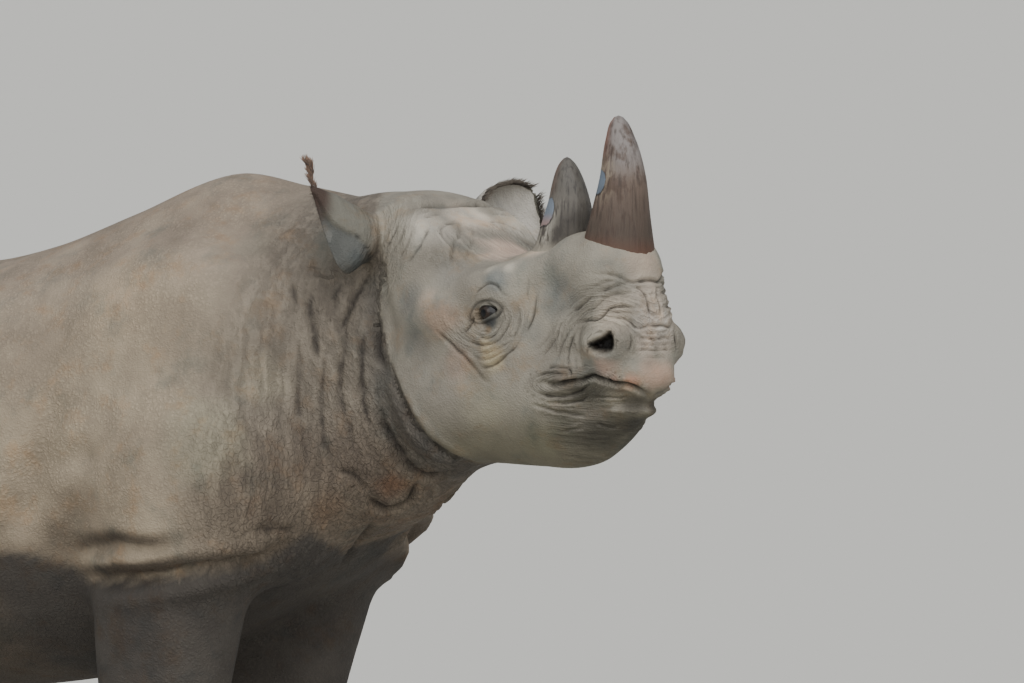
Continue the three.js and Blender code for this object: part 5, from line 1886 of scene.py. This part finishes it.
wornNail = nailPaint()
for name in stance:
    pair, sideName = name.split("leg_")
    placed = placedRows(*stance[name])
    foot = [v[0] for v in smoothRows(placed)(40)]
    for place, angle in toeAngles.items():
        turned = angle * sides[sideName]
        net = nailNet(*foot, -turned, nailShape["half"]["aside" if angle else "middle"])
        pieceName = f"{pair}Nail{sideName.title()}{place.title()}"
        netPiece(pieceName, net, [f"{pair}nail_{sideName}_{place}"], wornNail, {})
print("eyes and nails made")


# bristles on the ears' rims and the tail, grown by nodes from roots laid here
def bristleTree():
    tree = bpy.data.node_groups.new("bristles", "GeometryNodeTree")
    kinds = {"Roots": "Geometry", "Width": "Float", "Bend": "Float", "Untidy": "Float", "Spread": "Float"}
    kinds.update({"Bristles to a root": "Int", "Seed": "Int", "Hair": "Material"})
    for name, kind in kinds.items():
        tree.interface.new_socket(name, in_out="INPUT", socket_type=f"NodeSocket{kind}")
    tree.interface.new_socket("Bristles", in_out="OUTPUT", socket_type="NodeSocketGeometry")
    start, end = tree.nodes.new("NodeGroupInput"), tree.nodes.new("NodeGroupOutput")
    given = {socket.name: Wire(tree, socket) for socket in start.outputs}
    wire = Wire(tree)

    def stored(shape, name, value):
        inputs = {"Geometry": shape, "Name": name, "Value": value}
        return wire.make("GeometryNodeStoreNamedAttribute", {"data_type": "FLOAT", "domain": "POINT"}, inputs)

    def read(name, kind):
        return wire.make("GeometryNodeInputNamedAttribute", {"data_type": kind}, {"Name": name})

    def drawn(low, high, seed):
        inputs = {0: (low,) * 3, 1: (high,) * 3, "Seed": given["Seed"] + seed}
        return wire.make("FunctionNodeRandomValue", {"data_type": "FLOAT_VECTOR"}, inputs)

    # one strand, a unit long, that leans over and thins towards its tip
    rail = wire.make("GeometryNodeCurvePrimitiveLine", {}, {"End": (0, 0, 1)})
    rail = wire.make("GeometryNodeResampleCurve", {}, {"Curve": rail, "Count": 7})
    along = wire.make("GeometryNodeSplineParameter", {}, {})
    lean = (given["Bend"] * along.power(2.0)).joined()
    rail = wire.make("GeometryNodeSetPosition", {}, {"Geometry": rail, "Offset": lean})
    ring = wire.make("GeometryNodeCurvePrimitiveCircle", {}, {"Resolution": 4, "Radius": given["Width"]})
    sizes = {"Curve": stored(rail, "alongStrand", along), "Profile Curve": stored(ring, "roundStrand", along)}
    sizes.update({"Scale": (1.06 - along).power(0.6), "Fill Caps": True})
    strand = wire.make("GeometryNodeCurveToMesh", {}, sizes)
    # set on its roots, each a little astray
    inputs = {"Geometry": given["Roots"], "Amount": given["Bristles to a root"]}
    points = wire.make("GeometryNodeDuplicateElements", {"domain": "POINT"}, inputs)
    astray = drawn(-1.0, 1.0, 1).scaled(given["Spread"])
    points = wire.make("GeometryNodeSetPosition", {}, {"Geometry": points, "Offset": astray})
    turn = read("turn", "FLOAT_VECTOR").movedBy(drawn(-1.0, 1.0, 2).scaled(given["Untidy"]))
    turn = wire.make("FunctionNodeEulerToRotation", {}, {"Euler": turn})
    size = drawn(0.7, 1.1, 3).scaled(read("size", "FLOAT"))
    inputs = {"Points": points, "Instance": strand, "Rotation": turn, "Scale": size}
    grown = wire.make("GeometryNodeInstanceOnPoints", {}, inputs)
    grown = wire.make("GeometryNodeRealizeInstances", {}, {"Geometry": grown})
    patch = read("alongStrand", "FLOAT").joined(read("roundStrand", "FLOAT")).scaled((0.003,) * 3)
    inputs = {"Geometry": grown, "Name": "OFBake", "Value": read("spot", "FLOAT_VECTOR").movedBy(patch)}
    grown = wire.make("GeometryNodeStoreNamedAttribute", {"data_type": "FLOAT2", "domain": "CORNER"}, inputs)
    grown = wire.make("GeometryNodeSetMaterial", {}, {"Geometry": grown, "Material": given["Hair"]})
    tree.links.new(grown.socket, end.inputs["Bristles"])
    return tree


def bristlePaint(name, root, middle, tip):
    paint, wire, shader = newPaint(name, {"Specular IOR Level": 0.25, "Roughness": 0.7})
    along = wire.mark("alongStrand")
    colour = along.between(0.0, 0.5).mixed(tone(*root), tone(*middle))
    colour = along.between(0.5, 0.95).mixed(colour, tone(*tip))
    feed(shader, {"Base Color": colour})
    return paint


bristles = bristleTree()


def growBristles(name, roots, ways, lengths, spots, sizes, paint):
    # lengths in millimetres, one for all or one a root
    mesh = newMesh(f"{name}Roots", toScene(roots), [])
    turns = [Vector(way).to_track_quat("Z", "Y").to_euler() for way in ways]
    setMarks(mesh, {"turn": turns, "size": np.full(len(roots), lengths, np.float32) / 1000, "spot": spots})
    rooted = newObject(f"{name}Roots", mesh)
    modifier = rooted.modifiers.new("bristles", "NODES")
    modifier.node_group = bristles
    for socket in bristles.interface.items_tree:
        if socket.in_out == "INPUT" and socket.name in sizes:
            modifier[socket.identifier] = sizes[socket.name]
        elif socket.name == "Hair":
            modifier[socket.identifier] = paint
    made = baked(rooted)
    bpy.data.objects.remove(rooted)
    for spare in ("turn", "size", "spot", "roundStrand"):
        if spare in made.attributes:
            made.attributes.remove(made.attributes[spare])
    finishedPiece(name, made, [], paint)
    print(name, len(made.polygons), "faces")


def rimRoots(sideName, stops, reach):
    # roots along both edges of an ear, with the way out of the rim, leaning to the tip
    def at(t, edge):
        return earPoints(sideName, np.array([t]), edge, 2.5)[0]

    roots, ways, spots = [], [], []
    for edge in (-1, 1):
        for t in stops:
            root, outward = at(t, edge * 0.97), at(t, edge * 0.98) - at(t, edge * 0.84)
            onward = at(t + 0.05, edge * 0.97) - root
            way = outward / np.linalg.norm(outward) + reach * onward / np.linalg.norm(onward)
            body = fromEar(sideName, [root, root + way])
            roots.append(body[0])
            ways.append(body[1] - body[0])
            spots.append((0.5 + 0.42 * edge, 0.05 + 0.9 * t, 0))
    return roots, ways, spots


roots, ways, spots = rimRoots("left", np.linspace(0.28, 0.99, 110), 0.6)
fringe = {"Width": 0.03, "Bend": 0.2, "Untidy": 0.25, "Spread": 0.0022, "Bristles to a root": 6, "Seed": 3}
darkFringe = bristlePaint("darkFringe", (62, 56, 52), (80, 73, 67), (118, 109, 98))
growBristles("farEarFringe", roots, ways, 18, spots, fringe, darkFringe)

roots, ways, spots = rimRoots("right", np.linspace(0.8, 0.98, 24), 1.2)
sparse = {"Width": 0.045, "Bend": 0.3, "Untidy": 0.35, "Spread": 0.002, "Bristles to a root": 3, "Seed": 5}
growBristles("nearEarFringe", roots, ways, 8, spots, sparse, darkFringe)

# the tuft at the near ear's tip, twisted to one thick cord that opens at its end
tip = fromEar("right", earPoints("right", np.array([0.97]), 0, 2))[0]
twist = {"roots": 34, "high": 44.62, "lean": 13, "sway": 3, "turned": 30}
twist.update(wide=2.6, waist=1.3, open=1.6)
rise = np.linspace(0, 1, twist["roots"])
turned = twist["turned"] * rise
back, across, upward, _ = sightAxes()
lean = twist["lean"] * rise + twist["sway"] * np.sin(rise * 6)
middle = tip + (twist["high"] * rise)[:, None] * upward - lean[:, None] * across
wide = twist["wide"] - twist["waist"] * np.sin(rise * np.pi) + twist["open"] * rise
roots = middle + (wide * np.cos(turned))[:, None] * across + (wide * np.sin(turned))[:, None] * back
ways = upward - 0.3 * across + 0.2 * np.stack([np.cos(turned), np.sin(turned), 0 * turned], 1)
spots = np.stack([0.1 + 0.8 * rise, 0.5 + 0 * rise, 0 * rise], 1)
tuft = {"Width": 0.05, "Bend": 0.12, "Untidy": 0.3, "Spread": 0.0018, "Bristles to a root": 12, "Seed": 8}
rustyTuft = bristlePaint("rustyTuft", (74, 64, 58), (98, 82, 72), (146, 118, 100))
growBristles("nearEarTuft", roots, ways, 14 + 3 * rise, spots, tuft, rustyTuft)

# both edges of the tail's end
stops = np.linspace(0.72, 0.995, 80)
middle = smoothRows(tailRows)(stops).T
roots = np.concatenate([middle + (3 + edge * 5, 0, 0) for edge in (-1, 1)] + [middle[40:] + (3, 0, 0)])
ways = [(edge * 0.35 * (1 - t) + 0.1, 0.1 * math.sin(90 * t), -1) for edge in (-1, 1) for t in stops]
ways += [(0.2 * math.sin(60 * t), 0.3 * math.cos(70 * t), -1) for t in stops[40:]]
spots = np.array([(0.3 + 0.2 * k, t, 0) for k in (0, 1) for t in stops] + [(0.8, t, 0) for t in stops[40:]])
brush = {"Width": 0.012, "Bend": 0.08, "Untidy": 0.12, "Spread": 0.003, "Bristles to a root": 5, "Seed": 11}
darkBrush = bristlePaint("darkBrush", (44, 39, 35), (50, 44, 40), (70, 62, 54))
growBristles("tailBrush", roots, ways, 72, spots, brush, darkBrush)


# floor and light
hall = {"half": 2500, "floor": (196, 194, 188), "air": (228, 234, 240), "glow": 0.5}
lamps = {
    "ceilingLight": {"way": (0.1, -0.25, 1), "spread": 100, "strength": 1.1},
    "sideLight": {"way": (0.85, -0.9, 0.9), "spread": 70, "strength": 2.9},
}


def makeHall():
    corners = [(x * hall["half"], y * hall["half"], 0) for x, y in ((-1, -1), (1, -1), (1, 1), (-1, 1))]
    floorMesh = newMesh("hallFloor", corners, [(0, 1, 2, 3)])
    floor = newObject("hallFloor", floorMesh)
    paint, _, shader = newPaint("hallFloor", {"Roughness": 0.95, "Specular IOR Level": 0.1})
    shader.inputs["Base Color"].default_value = tone(*hall["floor"])
    floorMesh.materials.append(paint)
    world = bpy.data.worlds.new("hall")
    bpy.context.scene.world = world
    world.use_nodes = True
    world.node_tree.nodes["Background"].inputs["Color"].default_value = tone(*hall["air"])
    world.node_tree.nodes["Background"].inputs["Strength"].default_value = hall["glow"]
    for name, lamp in lamps.items():
        data = bpy.data.lights.new(name, "SUN")
        data.angle, data.energy = lamp["spread"] * deg, lamp["strength"]
        made = bpy.data.objects.new(name, data)
        made.location = Vector(lamp["way"]) * 5
        made.rotation_mode = "QUATERNION"
        made.rotation_quaternion = Vector(lamp["way"]).to_track_quat("Z", "Y")
        bpy.context.scene.collection.objects.link(made)


makeHall()
print("hall set")
